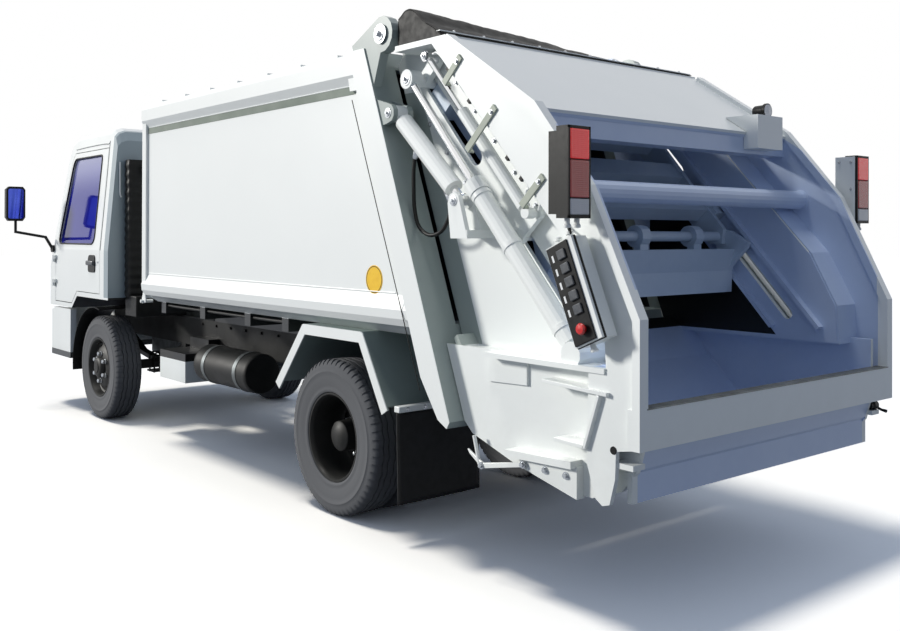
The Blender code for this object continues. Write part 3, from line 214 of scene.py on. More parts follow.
@dataclass(frozen=True)
class Finish:
    """A plain surface with patches of colour, uneven gloss and a fine grain.

    Colour runs from colour to shade in patches of patch_mm. Grain is grain_mm across and grain_depth strong.
    """

    name: str
    colour: str
    shade: str
    roughness: float
    metallic: float = 0.0
    patch_mm: float = 350.0
    grain_mm: float = 3.0
    grain_depth: float = 0.10
    gloss_spread: float = 0.08
    coat: float = 0.0
    specular: float = 0.5
    slot: str = "white_paint"

    def build(self) -> bpy.types.Material:
        """Make the material, or return the one that was made before.

        Returns:
            The material.
        """
        material = bpy.data.materials.get(self.name)
        if material is not None:
            return material
        material = bpy.data.materials.new(self.name)
        material.use_nodes = True
        tree = material.node_tree
        shader = tree.nodes["Principled BSDF"]
        canvas = Canvas(tree)
        smudge = canvas.cloud(self.patch_mm * 0.4, 6.0)
        gloss = canvas.ranged(smudge, 0.3, 0.7, max(0.02, self.roughness - self.gloss_spread),
                              self.roughness + self.gloss_spread)
        bump = add_node(tree, "ShaderNodeBump", {"Strength": self.grain_depth, "Distance": 0.001},
                        {"Height": self.relief(canvas)})
        sources = {"Base Color": self.tint(canvas), "Roughness": gloss, "Normal": bump.outputs[0]}
        for name, source in sources.items():
            tree.links.new(source, shader.inputs[name])
        values = {"Metallic": self.metallic, "Coat Weight": self.coat, "Coat Roughness": 0.12,
                  "Specular IOR Level": self.specular, **self.levels()}
        for name, value in values.items():
            shader.inputs[name].default_value = value
        return material

    def tint(self, canvas: Canvas) -> Socket:
        """Colour of the surface."""
        return mixed(canvas.tree, canvas.ranged(canvas.cloud(self.patch_mm, 5.0), 0.35, 0.70), self.colour,
                     self.shade)

    def relief(self, canvas: Canvas) -> Socket:
        """Height of the surface's grain."""
        return canvas.cloud(self.grain_mm, 3.0)

    def levels(self) -> dict:
        """Shader inputs that only some finishes set."""
        return {}


@dataclass(frozen=True)
class SprayedEnamel(Finish):
    """Enamel sprayed on sheet steel: slight orange peel, clear gloss, and road dust that thins out upward."""

    dust: str = "#B9BAB2"
    dust_top: float = 1.0

    def tint(self, canvas: Canvas) -> Socket:
        """Paint under a film of dust."""
        low = canvas.ranged(canvas.parts[2], 0.35, self.dust_top, 0.45, 0.0)
        film = maths(canvas.tree, "MULTIPLY", low, canvas.cloud(90.0, 9.0, 0.7))
        return mixed(canvas.tree, film, super().tint(canvas), self.dust)


@dataclass(frozen=True)
class TwoToneEnamel(SprayedEnamel):
    """Enamel with another colour in some regions, real two-tone paint on some pieces and painted shade on
    others such as a hopper's inside, and patches of painted shade in further regions.
    """

    inner: str = "#A4B2CB"
    inner_shade: str = "#8E9FBE"
    regions: tuple[Planes, ...] = ()
    # Patches of painted shade and painted shadow: a colour and the region it covers
    painted_shades: tuple[tuple[str, Planes], ...] = ()

    def tint(self, canvas: Canvas) -> Socket:
        """Paint outside the regions, the inner colour in blotches inside them, and the patches of painted
        shade over both.
        """
        tree = canvas.tree
        mask = canvas.within(self.regions[0])
        for planes in self.regions[1:]:
            mask = maths(tree, "MAXIMUM", mask, canvas.within(planes))
        inner = mixed(tree, canvas.cloud(240.0, 7.0, 0.65), self.inner, self.inner_shade)
        toned = mixed(tree, mask, super().tint(canvas), inner)
        for shade, planes in self.painted_shades:
            toned = mixed(tree, canvas.within(planes), toned, shade)
        return toned


@dataclass(frozen=True)
class HardChrome(Finish):
    """Ground and chromed rod: a mirror with faint rings from grinding."""

    slot: str = "hard_chrome"

    def relief(self, canvas: Canvas) -> Socket:
        """Grinding rings, drawn 2 mm apart so that they show at all; the real ones are finer."""
        return canvas.waves(6.3, "Z", 0.4)


@dataclass(frozen=True)
class TintedGlass(Finish):
    """Toughened window glass, tinted deep blue, turning paler along its top as a painted reflection of the
    sky.
    """

    slot: str = "window_glass"
    sky_reflection_low: float = 1.70
    sky_reflection_top: float = 2.16

    def tint(self, canvas: Canvas) -> Socket:
        """Deep blue that turns paler above the middle of the window, a painted reflection of the sky."""
        up = canvas.ranged(canvas.parts[2], self.sky_reflection_low, self.sky_reflection_top, easing="SMOOTHSTEP")
        return mixed(canvas.tree, up, self.colour, self.shade)

    def levels(self) -> dict:
        """Let a little light through, so that the cab's inside shows faintly."""
        return {"Transmission Weight": 0.15, "IOR": 1.5}


@dataclass(frozen=True)
class MouldedLens(Finish):
    """Acrylic lamp lens with rows of moulded prisms behind its smooth face."""

    slot: str = "lamp_lens"
    prism_mm: float = 7.0
    painted_glow: float = 0.0

    def relief(self, canvas: Canvas) -> Socket:
        """Rows of prisms."""
        rows = [canvas.waves(self.prism_mm * 3.14, way, profile="TRI") for way in ("Y", "Z")]
        return maths(canvas.tree, "ADD", *rows)

    def levels(self) -> dict:
        """Let a little light into the lens, and give it a painted glow in its own colour, though the lamp is
        not lit.
        """
        return {"Emission Color": linear(self.colour), "Emission Strength": self.painted_glow,
                "Transmission Weight": 0.25, "IOR": 1.49}


@dataclass(frozen=True)
class WovenCloth(Finish):
    """Woven seat cloth: threads over and under, with a soft sheen."""

    slot: str = "seat_cloth"
    thread_mm: float = 4.0

    def relief(self, canvas: Canvas) -> Socket:
        """Crossing threads, drawn coarser than the real 1 mm so that they show."""
        threads = [canvas.waves(self.thread_mm * 6.28, way) for way in ("X", "Y")]
        return maths(canvas.tree, "MULTIPLY", *threads)

    def levels(self) -> dict:
        """Give the cloth its sheen."""
        return {"Sheen Weight": 0.4}


# Fine, even enamel, as sprayed on large panels
SMOOTH = {"patch_mm": 900.0, "grain_mm": 9.0, "grain_depth": 0.02, "gloss_spread": 0.03}
# Sprayed enamel on sheet steel: clean, cool white with a clear gloss
WHITE = SprayedEnamel("sprayed_white_enamel", "#F0F3F1", "#EDF0EE", 0.34, coat=0.2, **SMOOTH)
# The tailgate: the same enamel, painted pale blue-grey inside the hopper as painted shade, near-black at the
# hopper's front as painted shade, and grey on its front strip as the painted shadow of the body's post
IN_HOPPER = (
    ((0, -1, 0, 0.7006), (0.642, 0, -1, 3.6543), (1, 0, 0, 3.20)),
    ((0, -1, 0, 0.8656), (-0.7307, 0, 0.6827, -3.0755), (0.642, 0, -1, 3.6543), (1, 0, 0, 3.20),
     (0, 0, 1, -0.93)),
    ((0, -1, 0, 0.8006), (0, 0, -1, 0.93), (1, 0, 0, 3.20)),
    ((0, -1, 0, 0.8656), (-1, 0, 0, -3.005), (0, 0, -1, 1.45), (0, 0, 1, -0.70), (1, 0, 0, 3.20)),
    ((0, -1, 0, 0.8656), (-1, 0, 0, -2.945), (0, 0, -1, 1.45), (0, 0, 1, -1.06), (1, 0, 0, 3.20)),
)
GATE = TwoToneEnamel("tailgate_enamel", "#F0F3F1", "#EBEFED", 0.36, coat=0.15, **SMOOTH, inner="#CBD9F0",
                     inner_shade="#B5C6E4", regions=IN_HOPPER,
                     # Painted shade and painted shadow: near-black at the hopper's front, grey where the post
                     # shades the gate's front strip
                     painted_shades=(("#141617", ((0, -1, 0, 0.7006), (0.741, 0, -0.6715, 2.69), (0, 0, 1, -0.945),
                                          (-1, 0, 0, -2.0))),
                             ("#A3ADA8", ((0, 1, 0, -0.7006), (0, -1, 0, 0.86), (1, 0, -0.385, 2.5955),
                                          (0, 0, -1, 2.10), (0, 0, 1, -0.95)))))
# The carriage and press plate: white outside the hopper, painted pale blue-grey inside it as painted shade
PRESS = TwoToneEnamel("packing_gear_enamel", "#EDF1EF", "#E4E9E9", 0.38, grain_mm=3.0, grain_depth=0.08,
                      inner="#C9D6E4", inner_shade="#AEBFD2", regions=(((0, -1, 0, 0.7006),),))
# The container: white outside; its inside and its underside painted near-black as painted shade, and the
# return of its rear post painted grey-green as painted shade
CONTAINER = TwoToneEnamel("container_enamel", "#F0F3F1", "#EEF1EF", 0.34, coat=0.2, patch_mm=900.0,
                          grain_mm=9.0, grain_depth=0.015, gloss_spread=0.02, inner="#1E2021",
                          inner_shade="#151718",
                          regions=(((0, -1, 0, 0.8325), (0, 0, 1, -1.0285), (0, 0, -1, 2.2715),
                                    (-1, 0, 0, 1.0605), (1, 0, -0.385, 2.3655)),
                                   ((0, -1, 0, 0.80), (0, 0, -1, 0.9585))),
                          painted_shades=(("#98A3A0", ((0, -1, 0, 0.8990), (-1, 0, 0.385, -2.3655),
                                               (0, 0, 1, -0.5))),))
# The cab: white outside, black in the wheel arches and under the floor, and its rear corner painted slate
# grey as painted shade
CAB = TwoToneEnamel("cab_enamel", "#F0F3F1", "#EDF0EE", 0.34, coat=0.2, **SMOOTH, inner="#131415",
                    inner_shade="#0D0E0F",
                    regions=(((0, -1, 0, 0.8585), (0, 0, -1, 0.946), (-1, 0, 0, 3.10)),),
                    painted_shades=(("#94A2A8", ((-1, 0, 0, 1.915), (0, 0, 1, -0.946))),))
# The mudguards: white, their faces inboard of the rims painted grey-green as painted shade
MUDGUARD = TwoToneEnamel("mudguard_enamel", "#F0F3F1", "#EBEEEC", 0.36, patch_mm=700.0, grain_mm=9.0,
                         grain_depth=0.02, inner="#8F9C99", inner_shade="#7B8986",
                         regions=(((0, -1, 0, 0.8795),),))
# The ejector panel: near-black, a painted shade of the container's dark inside
EJECTOR = SprayedEnamel("ejector_painted_shade_enamel", "#2B2E31", "#202326", 0.60, grain_mm=5.0, grain_depth=0.2)
# The bumper: white with a dark lower strip
BUMPER = TwoToneEnamel("bumper_enamel", "#F0F3F1", "#EDF0EE", 0.34, **SMOOTH, dust_top=0.55,
                       inner="#3A3D3E", inner_shade="#2C2F30", regions=(((0, 0, -1, 0.468),),))
# The battery box: white, under a black lid
BATTERY = TwoToneEnamel("battery_box_enamel", "#EFF3F1", "#E8ECEA", 0.36, patch_mm=600.0, grain_mm=9.0,
                        grain_depth=0.02, dust_top=0.50, inner="#151617", inner_shade="#0F1011",
                        regions=(((0, 0, 1, -0.548),),))
# Chassis enamel: black, satin, with a film of road dust
BLACK = SprayedEnamel("chassis_enamel", "#0F1011", "#191B1C", 0.50, grain_mm=2.0, dust="#3A3935",
                      dust_top=0.9, specular=0.22, slot="chassis_paint")
# Cast and rolled steel left bare: grey, dull, blotchy
STEEL = Finish("bare_mild_steel", "#6E7375", "#55595A", 0.52, metallic=0.85, patch_mm=60.0, grain_mm=1.2,
               grain_depth=0.30, slot="bare_steel")
# Straps and fixings painted grey-green, a painted shade on white steel
STRAP = SprayedEnamel("strap_painted_shade_grey", "#A9B0A2", "#969D91", 0.55, grain_mm=4.0, grain_depth=0.08)
# The groove under the container's roof rail: a grey-green strip of painted shade
GROOVE = SprayedEnamel("groove_painted_shade", "#7C877C", "#6C776D", 0.70, grain_mm=5.0, grain_depth=0.1)
# White marks printed beside the switches, and the blank plate at the front
MARK = Finish("white_printed_mark", "#E9EBEC", "#DADDDF", 0.50, patch_mm=10.0, grain_mm=0.5)
# Zinc-plated fasteners and clips: bright, slightly uneven
ZINC = Finish("zinc_plating", "#C3C7CB", "#A4A8AD", 0.30, metallic=1.0, patch_mm=12.0, grain_mm=0.8,
              slot="bare_steel")
# Hard chrome on ground rods: mirror-bright
CHROME = HardChrome("hard_chrome", "#D9DBDD", "#C9CCCF", 0.10, metallic=1.0, gloss_spread=0.03,
                    grain_depth=0.03)
# Carbon-black tyre rubber: matt, greyer where the sidewall is dry
TYRE = Finish("tyre_rubber", "#0C0C0D", "#151617", 0.72, patch_mm=70.0, grain_mm=1.5, grain_depth=0.25,
              specular=0.18, slot="tyre_rubber")
# Calendered rubber sheet: black, satin, fine pressed grain
SHEET = Finish("calendered_rubber", "#0B0C0D", "#131415", 0.58, patch_mm=90.0, grain_mm=2.5, grain_depth=0.35,
               specular=0.25, slot="rubber_sheet")
# Hose and seal rubber: black, slightly glossy
SEAL = Finish("extruded_rubber", "#08090A", "#0E0F10", 0.45, grain_mm=0.8, grain_depth=0.10,
              specular=0.2, slot="rubber_sheet")
# Moulded black ABS: leather grain, low gloss
PLASTIC = Finish("moulded_black_abs", "#0B0C0D", "#121415", 0.42, patch_mm=50.0, grain_mm=1.4,
                 grain_depth=0.22, specular=0.2, slot="black_plastic")
# Moulded grey ABS of the buttons
BUTTON = Finish("moulded_grey_abs", "#45494F", "#35393E", 0.38, patch_mm=15.0, grain_mm=0.9,
                slot="black_plastic")
# Window glass: deep blue, turning pale lilac towards the top as a painted reflection of the sky
GLASS = TintedGlass("tinted_safety_glass", "#20249A", "#C9CCF0", 0.05, gloss_spread=0.02, grain_mm=40.0,
                    grain_depth=0.01)
# Silvered mirror glass under a blue anti-dazzle tint
MIRROR = Finish("silvered_mirror_glass", "#2F3FC4", "#5A6BDA", 0.05, metallic=1.0, gloss_spread=0.02,
                grain_mm=60.0, grain_depth=0.01, slot="window_glass")
# Red lenses with a faint painted glow, though the tail lamps are not lit
RED_LENS = MouldedLens("red_acrylic_lens", "#FF141C", "#E80E16", 0.14, coat=0.6, grain_depth=0.5, painted_glow=0.22)
DARK_LENS = MouldedLens("dark_red_acrylic_lens", "#C20F18", "#8E0B12", 0.16, coat=0.6, grain_depth=0.5,
                        painted_glow=0.06)
CLEAR_LENS = MouldedLens("clear_acrylic_lens", "#D8DCE4", "#C4C9D2", 0.14, coat=0.6, grain_depth=0.5)
AMBER_LENS = MouldedLens("amber_acrylic_lens", "#E07A12", "#C8690C", 0.14, coat=0.6, grain_depth=0.5)
# Reflective yellow vinyl film
VINYL = Finish("yellow_vinyl_film", "#F4C51B", "#EDBB10", 0.35, patch_mm=30.0, grain_mm=0.6, grain_depth=0.05)
STOP_RED = Finish("red_moulded_button", "#D41C1C", "#BE1616", 0.30, patch_mm=15.0, grain_mm=0.8, coat=0.3,
                  slot="lamp_lens")
CLOTH = WovenCloth("woven_seat_cloth", "#3A3F46", "#2C3036", 0.92, patch_mm=120.0, grain_depth=0.6)
VINYL_TRIM = Finish("embossed_seat_vinyl", "#232528", "#1B1D20", 0.55, patch_mm=60.0, grain_mm=1.6,
                    grain_depth=0.45, slot="seat_cloth")


# Shapes

SHARP_DEGREES = 38
BEVEL_DEGREES = 40
# Radius at which a turned profile closes on its axis
CORE = 0.0003


def angles(count: int) -> list[float]:
    """Equal steps round a circle."""
    return [math.tau * k / count for k in range(count)]


def on_side(side: Side, *points: Sequence[float]) -> list[Vector]:
    """Points given for the left, moved to a side."""
    return [Vector((x, side.sign * y, z)) for x, y, z in points]


def both(side: Side, near: float, far: float) -> tuple[float, float]:
    """Range of Y on one side, lower number first."""
    return (near, far) if side.sign > 0 else (-far, -near)


def flowing(points: Sequence[Sequence[float]], steps: int = 8) -> list[Vector]:
    """Smooth line through points.

    Args:
        points: Points that the line passes.
        steps: Pieces that each stretch is cut into.

    Returns:
        The line's points.
    """
    knots = [Vector(p) for p in points]
    knots = [2 * knots[0] - knots[1], *knots, 2 * knots[-1] - knots[-2]]
    line = []
    for a, b, c, d in zip(knots, knots[1:], knots[2:], knots[3:]):
        for k in range(steps):
            t = k / steps
            line.append(0.5 * (2 * b + t * (c - a) + t * t * (2 * a - 5 * b + 4 * c - d)
                               + t ** 3 * (3 * b - a - 3 * c + d)))
    return line + [knots[-2]]


def rounded(outline: Outline, radius: float, steps: int = 5) -> list[tuple[float, float]]:
    """Round the corners of a closed outline.

    Args:
        outline: Its corners.
        radius: How far from each corner the bend starts.
        steps: Pieces in each bend.

    Returns:
        The outline's points.
    """
    result = []
    count = len(outline)
    for i in range(count):
        before, here, after = (Vector(outline[k % count]) for k in (i - 1, i, i + 1))
        start = here + (before - here).normalized() * min(radius, (before - here).length / 2.1)
        end = here + (after - here).normalized() * min(radius, (after - here).length / 2.1)
        for k in range(steps + 1):
            t = k / steps
            spot = start * (1 - t) ** 2 + here * 2 * t * (1 - t) + end * t ** 2
            result.append((spot.x, spot.y))
    return result


def new_object(name: str, data: bpy.types.ID) -> bpy.types.Object:
    """Make an object and link it to the scene."""
    thing = bpy.data.objects.new(name, data)
    bpy.context.scene.collection.objects.link(thing)
    return thing


def mount(thing: bpy.types.Object, body: str, stands_for: Iterable[str] = ()) -> None:
    """Let a piece ride on its body and hide the nodes that it replaces, and log it."""
    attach(thing, body)
    nodes = list(stands_for)
    if nodes:
        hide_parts(*nodes)
    LOG.info("%s rides on %s", thing.name, body)


class Shape:
    """A mesh in the making, gathered from simple forms. A method that adds a form returns the shape."""

    def __init__(self) -> None:
        """Start with no points."""
        self.points: list[Vector] = []
        self.faces: list[tuple[int, ...]] = []

    def skin(self, loops: Sequence[Sequence[Vector]], ring: bool = False) -> Shape:
        """Join loops of equally many points.

        Args:
            loops: The loops in order.
            ring: Whether the last loop joins the first; otherwise both ends are closed.

        Returns:
            The shape.
        """
        start, size, count = len(self.points), len(loops[0]), len(loops)
        self.points += [Vector(p) for loop in loops for p in loop]
        for k in range(count if ring else count - 1):
            a, b = start + k * size, start + (k + 1) % count * size
            for i in range(size):
                j = (i + 1) % size
                self.faces.append((a + i, a + j, b + j, b + i))
        if not ring:
            self.faces.append(tuple(start + i for i in reversed(range(size))))
            self.faces.append(tuple(start + (count - 1) * size + i for i in range(size)))
        return self

    def prism(self, outline: Outline, axis: str, low: float, high: float) -> Shape:
        """Extrude an outline.

        Args:
            outline: Points in the two other axes, in X, Y, Z order.
            axis: X, Y or Z.
            low: Where it starts along the axis.
            high: Where it ends.

        Returns:
            The shape.
        """
        k = "XYZ".index(axis)
        return self.skin([[Vector((*point[:k], along, *point[k:])) for point in outline]
                          for along in (low, high)])

    def block(self, low: Sequence[float], high: Sequence[float]) -> Shape:
        """Add a box between two corners."""
        (x0, y0, z0), (x1, y1, z1) = low, high
        return self.prism([(x0, z0), (x1, z0), (x1, z1), (x0, z1)], "Y", y0, y1)

    def tube(self, line: Sequence[Vector], radius: float | Sequence[float], sides: int = 12,
             ring: bool = False) -> Shape:
        """Round tube along a line.

        Args:
            line: Points of its middle.
            radius: One radius, or one for each point.
            sides: Faces round it.
            ring: Whether its end joins its start.

        Returns:
            The shape.
        """
        line = [Vector(p) for p in line]
        radii = [radius] * len(line) if isinstance(radius, (int, float)) else radius
        count = len(line)
        loops = []
        guide = None
        for k, point in enumerate(line):
            before = line[k - 1] if k or ring else point
            after = line[(k + 1) % count] if k < count - 1 or ring else point
            along = (after - before).normalized()
            if guide is None:
                guide = along.orthogonal().normalized()
            guide = (guide - along * guide.dot(along)).normalized()
            other = along.cross(guide)
            loops.append([point + radii[k] * (math.cos(t) * guide + math.sin(t) * other)
                          for t in angles(sides)])
        return self.skin(loops, ring)

    def turned(self, profile: Outline, centre: Sequence[float], axis: Vector, sides: int = 32) -> Shape:
        """Turn a closed profile about an axis.

        Args:
            profile: Points as (radius, distance along the axis).
            centre: Where distance is 0.
            axis: Direction of the axis.
            sides: Faces round it.

        Returns:
            The shape.
        """
        centre, axis = Vector(centre), axis.normalized()
        u = axis.orthogonal().normalized()
        v = axis.cross(u)
        return self.skin([[centre + (math.cos(t) * u + math.sin(t) * v) * max(radius, 0.0001) + axis * along
                           for radius, along in profile] for t in angles(sides)], ring=True)

    def hexagon(self, sections: Outline, centre: Vector, axis: Vector, start: Vector) -> Shape:
        """Add a six-sided head, its sections given as (corner radius, distance along the axis)."""
        other = axis.cross(start)
        return self.skin([[centre + axis * along + radius * (math.cos(t) * start + math.sin(t) * other)
                           for t in angles(6)] for radius, along in sections])

    def bolt(self, centre: Sequence[float], axis: Vector, width: float) -> Shape:
        """Hexagon head on its washer.

        Args:
            centre: Where the washer meets the surface.
            axis: Direction that the head faces.
            width: Distance between the head's flats.

        Returns:
            The shape.
        """
        centre, axis = Vector(centre), axis.normalized()
        rim = width * 0.85
        self.turned([(0, -0.001), (rim, -0.001), (rim, width * 0.10), (0, width * 0.10)], centre, axis, 16)
        return self.hexagon([(width * share, width * along) for share, along in
                             ((0.577, 0.10), (0.577, 0.62), (0.50, 0.70))], centre, axis,
                            axis.orthogonal().normalized())

    def mesh(self, name: str, sharp: float = SHARP_DEGREES) -> bpy.types.Mesh:
        """Make a mesh whose faces look outward.

        Args:
            name: The mesh's name.
            sharp: Angle in degrees from which an edge is drawn sharp.

        Returns:
            The mesh.
        """
        mesh = bpy.data.meshes.new(name)
        mesh.from_pydata([tuple(p) for p in self.points], [], self.faces)
        made = bmesh.new()
        made.from_mesh(mesh)
        bmesh.ops.recalc_face_normals(made, faces=made.faces)
        made.to_mesh(mesh)
        made.free()
        mesh.shade_smooth()
        mesh.set_sharp_from_angle(angle=math.radians(sharp))
        return mesh

    def piece(self, name: str, finish: Finish, body: str, bevel: float = 0.0, stands_for: Iterable[str] = (),
              slot: str = "") -> bpy.types.Object:
        """Make the object and hang it on its body.

        Args:
            name: The piece's name.
            finish: Its surface.
            body: The body that it moves with.
            bevel: Width of the rounding on its edges.
            stands_for: Nodes that it replaces.
            slot: Not used.

        Returns:
            The object.
        """
        mesh = self.mesh(name)
        mesh.materials.append(finish.build())
        thing = new_object(name, mesh)
        if bevel:
            rounding = thing.modifiers.new("rounding", "BEVEL")
            rounding.width = bevel
            rounding.segments = 2
            rounding.angle_limit = math.radians(BEVEL_DEGREES)
        mount(thing, body, stands_for)
        return thing


def carve(thing: bpy.types.Object, cutter: Shape) -> None:
    """Cut a shape out of a piece and apply the cut.

    Args:
        thing: The piece.
        cutter: What is taken away.
    """
    tool = new_object("cutter", cutter.mesh("cutter"))
    tool.matrix_world = thing.matrix_world
    step = thing.modifiers.new("holes", "BOOLEAN")
    step.operation = "DIFFERENCE"
    step.object = tool
    bpy.context.view_layer.update()
    graph = bpy.context.evaluated_depsgraph_get()
    carved = bpy.data.meshes.new_from_object(thing.evaluated_get(graph))
    thing.modifiers.clear()
    thing.data = carved
    carved.shade_smooth()
    carved.set_sharp_from_angle(angle=math.radians(SHARP_DEGREES))
    bpy.data.objects.remove(tool, do_unlink=True)


def sheet_piece(name: str, grid: Sequence[Sequence[Vector]], body: str, thickness: float,
                stands_for: str) -> None:
    """Make a rubber sheet from a grid of points.

    Args:
        name: The piece's name.
        grid: Rows of points.
        body: The body that it rides on.
        thickness: Thickness of the sheet.
        stands_for: The node that it replaces.
    """
    shape = Shape()
    rows = len(grid[0])
    shape.points = [p for line in grid for p in line]
    for i in range(len(grid) - 1):
        for k in range(i * rows, (i + 1) * rows - 1):
            shape.faces.append((k, k + 1, k + rows + 1, k + rows))
    thing = shape.piece(name, SHEET, body, stands_for=[stands_for])
    thick = thing.modifiers.new("thickness", "SOLIDIFY")
    thick.thickness = thickness
    thick.offset = 0.0


# Wheels

@dataclass
class Tyre:
    """Truck tyre with four zigzag grooves and notched shoulders."""

    half_width: float = 0.1025
    tread_share: float = 0.56
    shoulder_radius: float = 0.37
    groove_depth: float = 0.010
    notch_share: float = 0.75
    zigzag: float = 0.0035
    notches: int = 60

    def rows(self) -> list[tuple[float, float, float]]:
        """Section from bead to bead as (radius, place across, depth of the groove there)."""
        wall = [(0.225, 0.80), (0.229, 0.91), (0.236, 0.945), (0.244, 0.950), (0.250, 0.935), (0.262, 0.955),
                (0.285, 0.985), (0.305, 1.0), (0.325, 0.998), (0.328, 1.012), (0.334, 1.012), (0.337, 0.990),
                (0.352, 0.975), (0.366, 0.945), (0.378, 0.90), (0.387, 0.84), (0.392, 0.78)]
        tread = [(0.3943, 0.72, 0.0)]
        for middle in (0.49, 0.19):
            tread += [(0.3948, middle + 0.046, 0.0), (0.3948, middle + 0.034, 1.0),
                      (0.3948, middle - 0.034, 1.0), (0.3949, middle - 0.046, 0.0)]
        half = [(r, share, 0.0) for r, share in wall] + tread
        return half + [(r, -share, depth) for r, share, depth in reversed(half)]

    def mesh(self) -> bpy.types.Mesh:
        """Build the tyre about the origin, its axle along Y.

        Returns:
            The mesh.
        """
        loops = []
        for k in range(self.notches):
            for part in (0.0, 0.10, 0.14, 0.52, 0.60, 0.64):
                turn = math.tau * (k + part) / self.notches
                wave = self.zigzag * (1 if k % 2 else -1) * (1 - 2 * part)
                loop = []
                for radius, share, groove in self.rows():
                    on_tread = abs(share) < self.tread_share
                    notched = part <= 0.10 and radius > self.shoulder_radius and not on_tread
                    reach = radius - self.groove_depth * (self.notch_share if notched else groove)
                    across = share * self.half_width + (wave if on_tread else 0.0)
                    loop.append(Vector((reach * math.sin(turn), across, reach * math.cos(turn))))
                loops.append(loop)
        mesh = Shape().skin(loops, ring=True).mesh("tyre_with_tread", 32)
        mesh.materials.append(TYRE.build())
        return mesh


FRONT_RIM: Outline = (
    (0, 0.118), (0.040, 0.118), (0.046, 0.112), (0.050, 0.112), (0.072, 0.106), (0.080, 0.096),
    (0.084, 0.078), (0.126, 0.074), (0.150, 0.062), (0.188, 0.040), (0.200, 0.045), (0.206, 0.056),
    (0.210, 0.088), (0.216, 0.095), (0.2245, 0.095), (0.2245, -0.095), (0.205, -0.095), (0.199, 0.010),
    (0.188, 0.020), (0.150, 0.030), (0.150, -0.010), (0.0275, -0.010), (0.0275, 0.055), (0, 0.055))
REAR_RIM: Outline = (
    (0, 0.800), (0.044, 0.800), (0.050, 0.796), (0.070, 0.790), (0.076, 0.784), (0.084, 0.668),
    (0.130, 0.646), (0.150, 0.640), (0.188, 0.640), (0.198, 0.652), (0.203, 0.700), (0.206, 0.800),
    (0.210, 0.822), (0.216, 0.830), (0.2245, 0.830), (0.2245, 0.412), (0.205, 0.412), (0.199, 0.590),
    (0.188, 0.604), (0.150, 0.604), (0.150, 0.440), (0.0365, 0.440), (0.0365, 0.605), (0, 0.605))


@dataclass
class Wheels:
    """Six tyres, four rims, their nuts and valves."""

    front_y: float = 0.7145
    rear_outer_y: float = 0.7385
    rear_inner_y: float = 0.5035
    nut_circle: float = 0.104
    nut_count: int = 6
    hole_circle: float = 0.170
    hole_count: int = 8
    valve_circle: float = 0.195

    def build(self) -> None:
        """Build every wheel."""
        tyre = Tyre().mesh()
        for side in Side:
            front, rear = f"F{side.label}", f"R{side.label}"
            for wheel, x, y, node in ((front, FRONT_AXLE_X, self.front_y, f"tyre_{front}"),
                                      (rear, REAR_AXLE_X, self.rear_outer_y, f"tyre_{rear}_outer"),
                                      (rear, REAR_AXLE_X, self.rear_inner_y, f"tyre_{rear}_inner")):
                thing = new_object(f"road_{node}", tyre)
                thing.location = (x, side.sign * y, AXLE_HEIGHT)
                mount(thing, f"wheel_{wheel}", [node])
            self.rim(side, front, FRONT_RIM, Vector((FRONT_AXLE_X, side.sign * self.front_y, AXLE_HEIGHT)),
                     0.076, 0.10)
            self.rim(side, rear, REAR_RIM, Vector((REAR_AXLE_X, 0, AXLE_HEIGHT)), 0.657, 0.700)

    def rim(self, side: Side, wheel: str, profile: Outline, centre: Vector, seat: float, top: float) -> None:
        """Build one rim with its hand holes, nuts and valve.

        Args:
            side: The truck's side.
            wheel: Name of the wheel.
            profile: Section as (radius, distance outward).
            centre: Where distance is 0.
            seat: Distance outward of the face that the nuts sit on.
            top: Distance outward that the studs reach.
        """
        out = Y * side.sign
        body = f"wheel_{wheel}"
        thing = Shape().turned(profile, centre, out, 96).piece(f"pressed_rim_{wheel}", BLACK, body,
                                                               stands_for=[f"rim_{wheel}"])
        holes = Shape()
        for k in range(self.hole_count):
            turn = math.tau * (k + 0.5) / self.hole_count
            spoke = math.sin(turn) * X + math.cos(turn) * Z
            across = spoke.cross(out)
            middle = centre + spoke * self.hole_circle
            holes.skin([[middle + across * 0.021 * math.cos(t) + spoke * 0.015 * math.sin(t) + out * depth
                         for t in angles(20)] for depth in (seat - 0.052, seat + 0.03)])
        carve(thing, holes)
        nuts = Shape()
        for turn in angles(self.nut_count):
            spot = centre + self.nut_circle * (math.sin(turn) * X + math.cos(turn) * Z)
            nuts.turned([(0, seat - 0.008), (0.019, seat - 0.008), (0.019, seat + 0.004),
                         (0.017, seat + 0.006), (0, seat + 0.006)], spot, out, 20)
            nuts.hexagon([(0.0165, seat + 0.005), (0.0165, seat + 0.024), (0.0140, seat + 0.028)],
                         spot, out, X)
            nuts.turned([(0, seat + 0.02), (0.0085, seat + 0.02), (0.0085, top - 0.001), (0.0070, top),
                         (0, top)], spot, out, 16)
        nuts.piece(f"wheel_nuts_{wheel}", ZINC, body)
        foot = centre + Z * self.valve_circle + out * (seat - 0.02)
        Shape().tube(flowing([foot, foot + out * 0.02 - Z * 0.004, foot + out * 0.05 - Z * 0.014], 4),
                     [0.0055] * 5 + [0.0045] * 4, 10).piece(f"tyre_valve_{wheel}", SEAL, body, slot=TYRE.slot)


# Packing mechanism and tailgate

# Slide cylinders: the rod's pin, the press plate's pin, and the carriage's way down between them
ROD_PIN = Vector((-1.852, 0, 2.135))
PRESS_PIN = Vector((-2.50, 0, 1.42))
SLIDE = (PRESS_PIN - ROD_PIN).normalized()
SLIDE_NORMAL = Vector((SLIDE.z, 0, -SLIDE.x))
# The wing's edge: its top, the way down it, and the way out from it
WING_TOP = Vector((-2.083, 0, 2.268))
WING_DOWN = Vector((-0.6827, 0, -0.7307))
WING_OUT = Vector((0.7307, 0, -0.6827))


def on_wing(along: float, out: float, y: float) -> Vector:
    """Place beside the wing's edge: along it from the top, out from it towards the cylinders, and across."""
    return WING_TOP + WING_DOWN * along + WING_OUT * out + Y * y


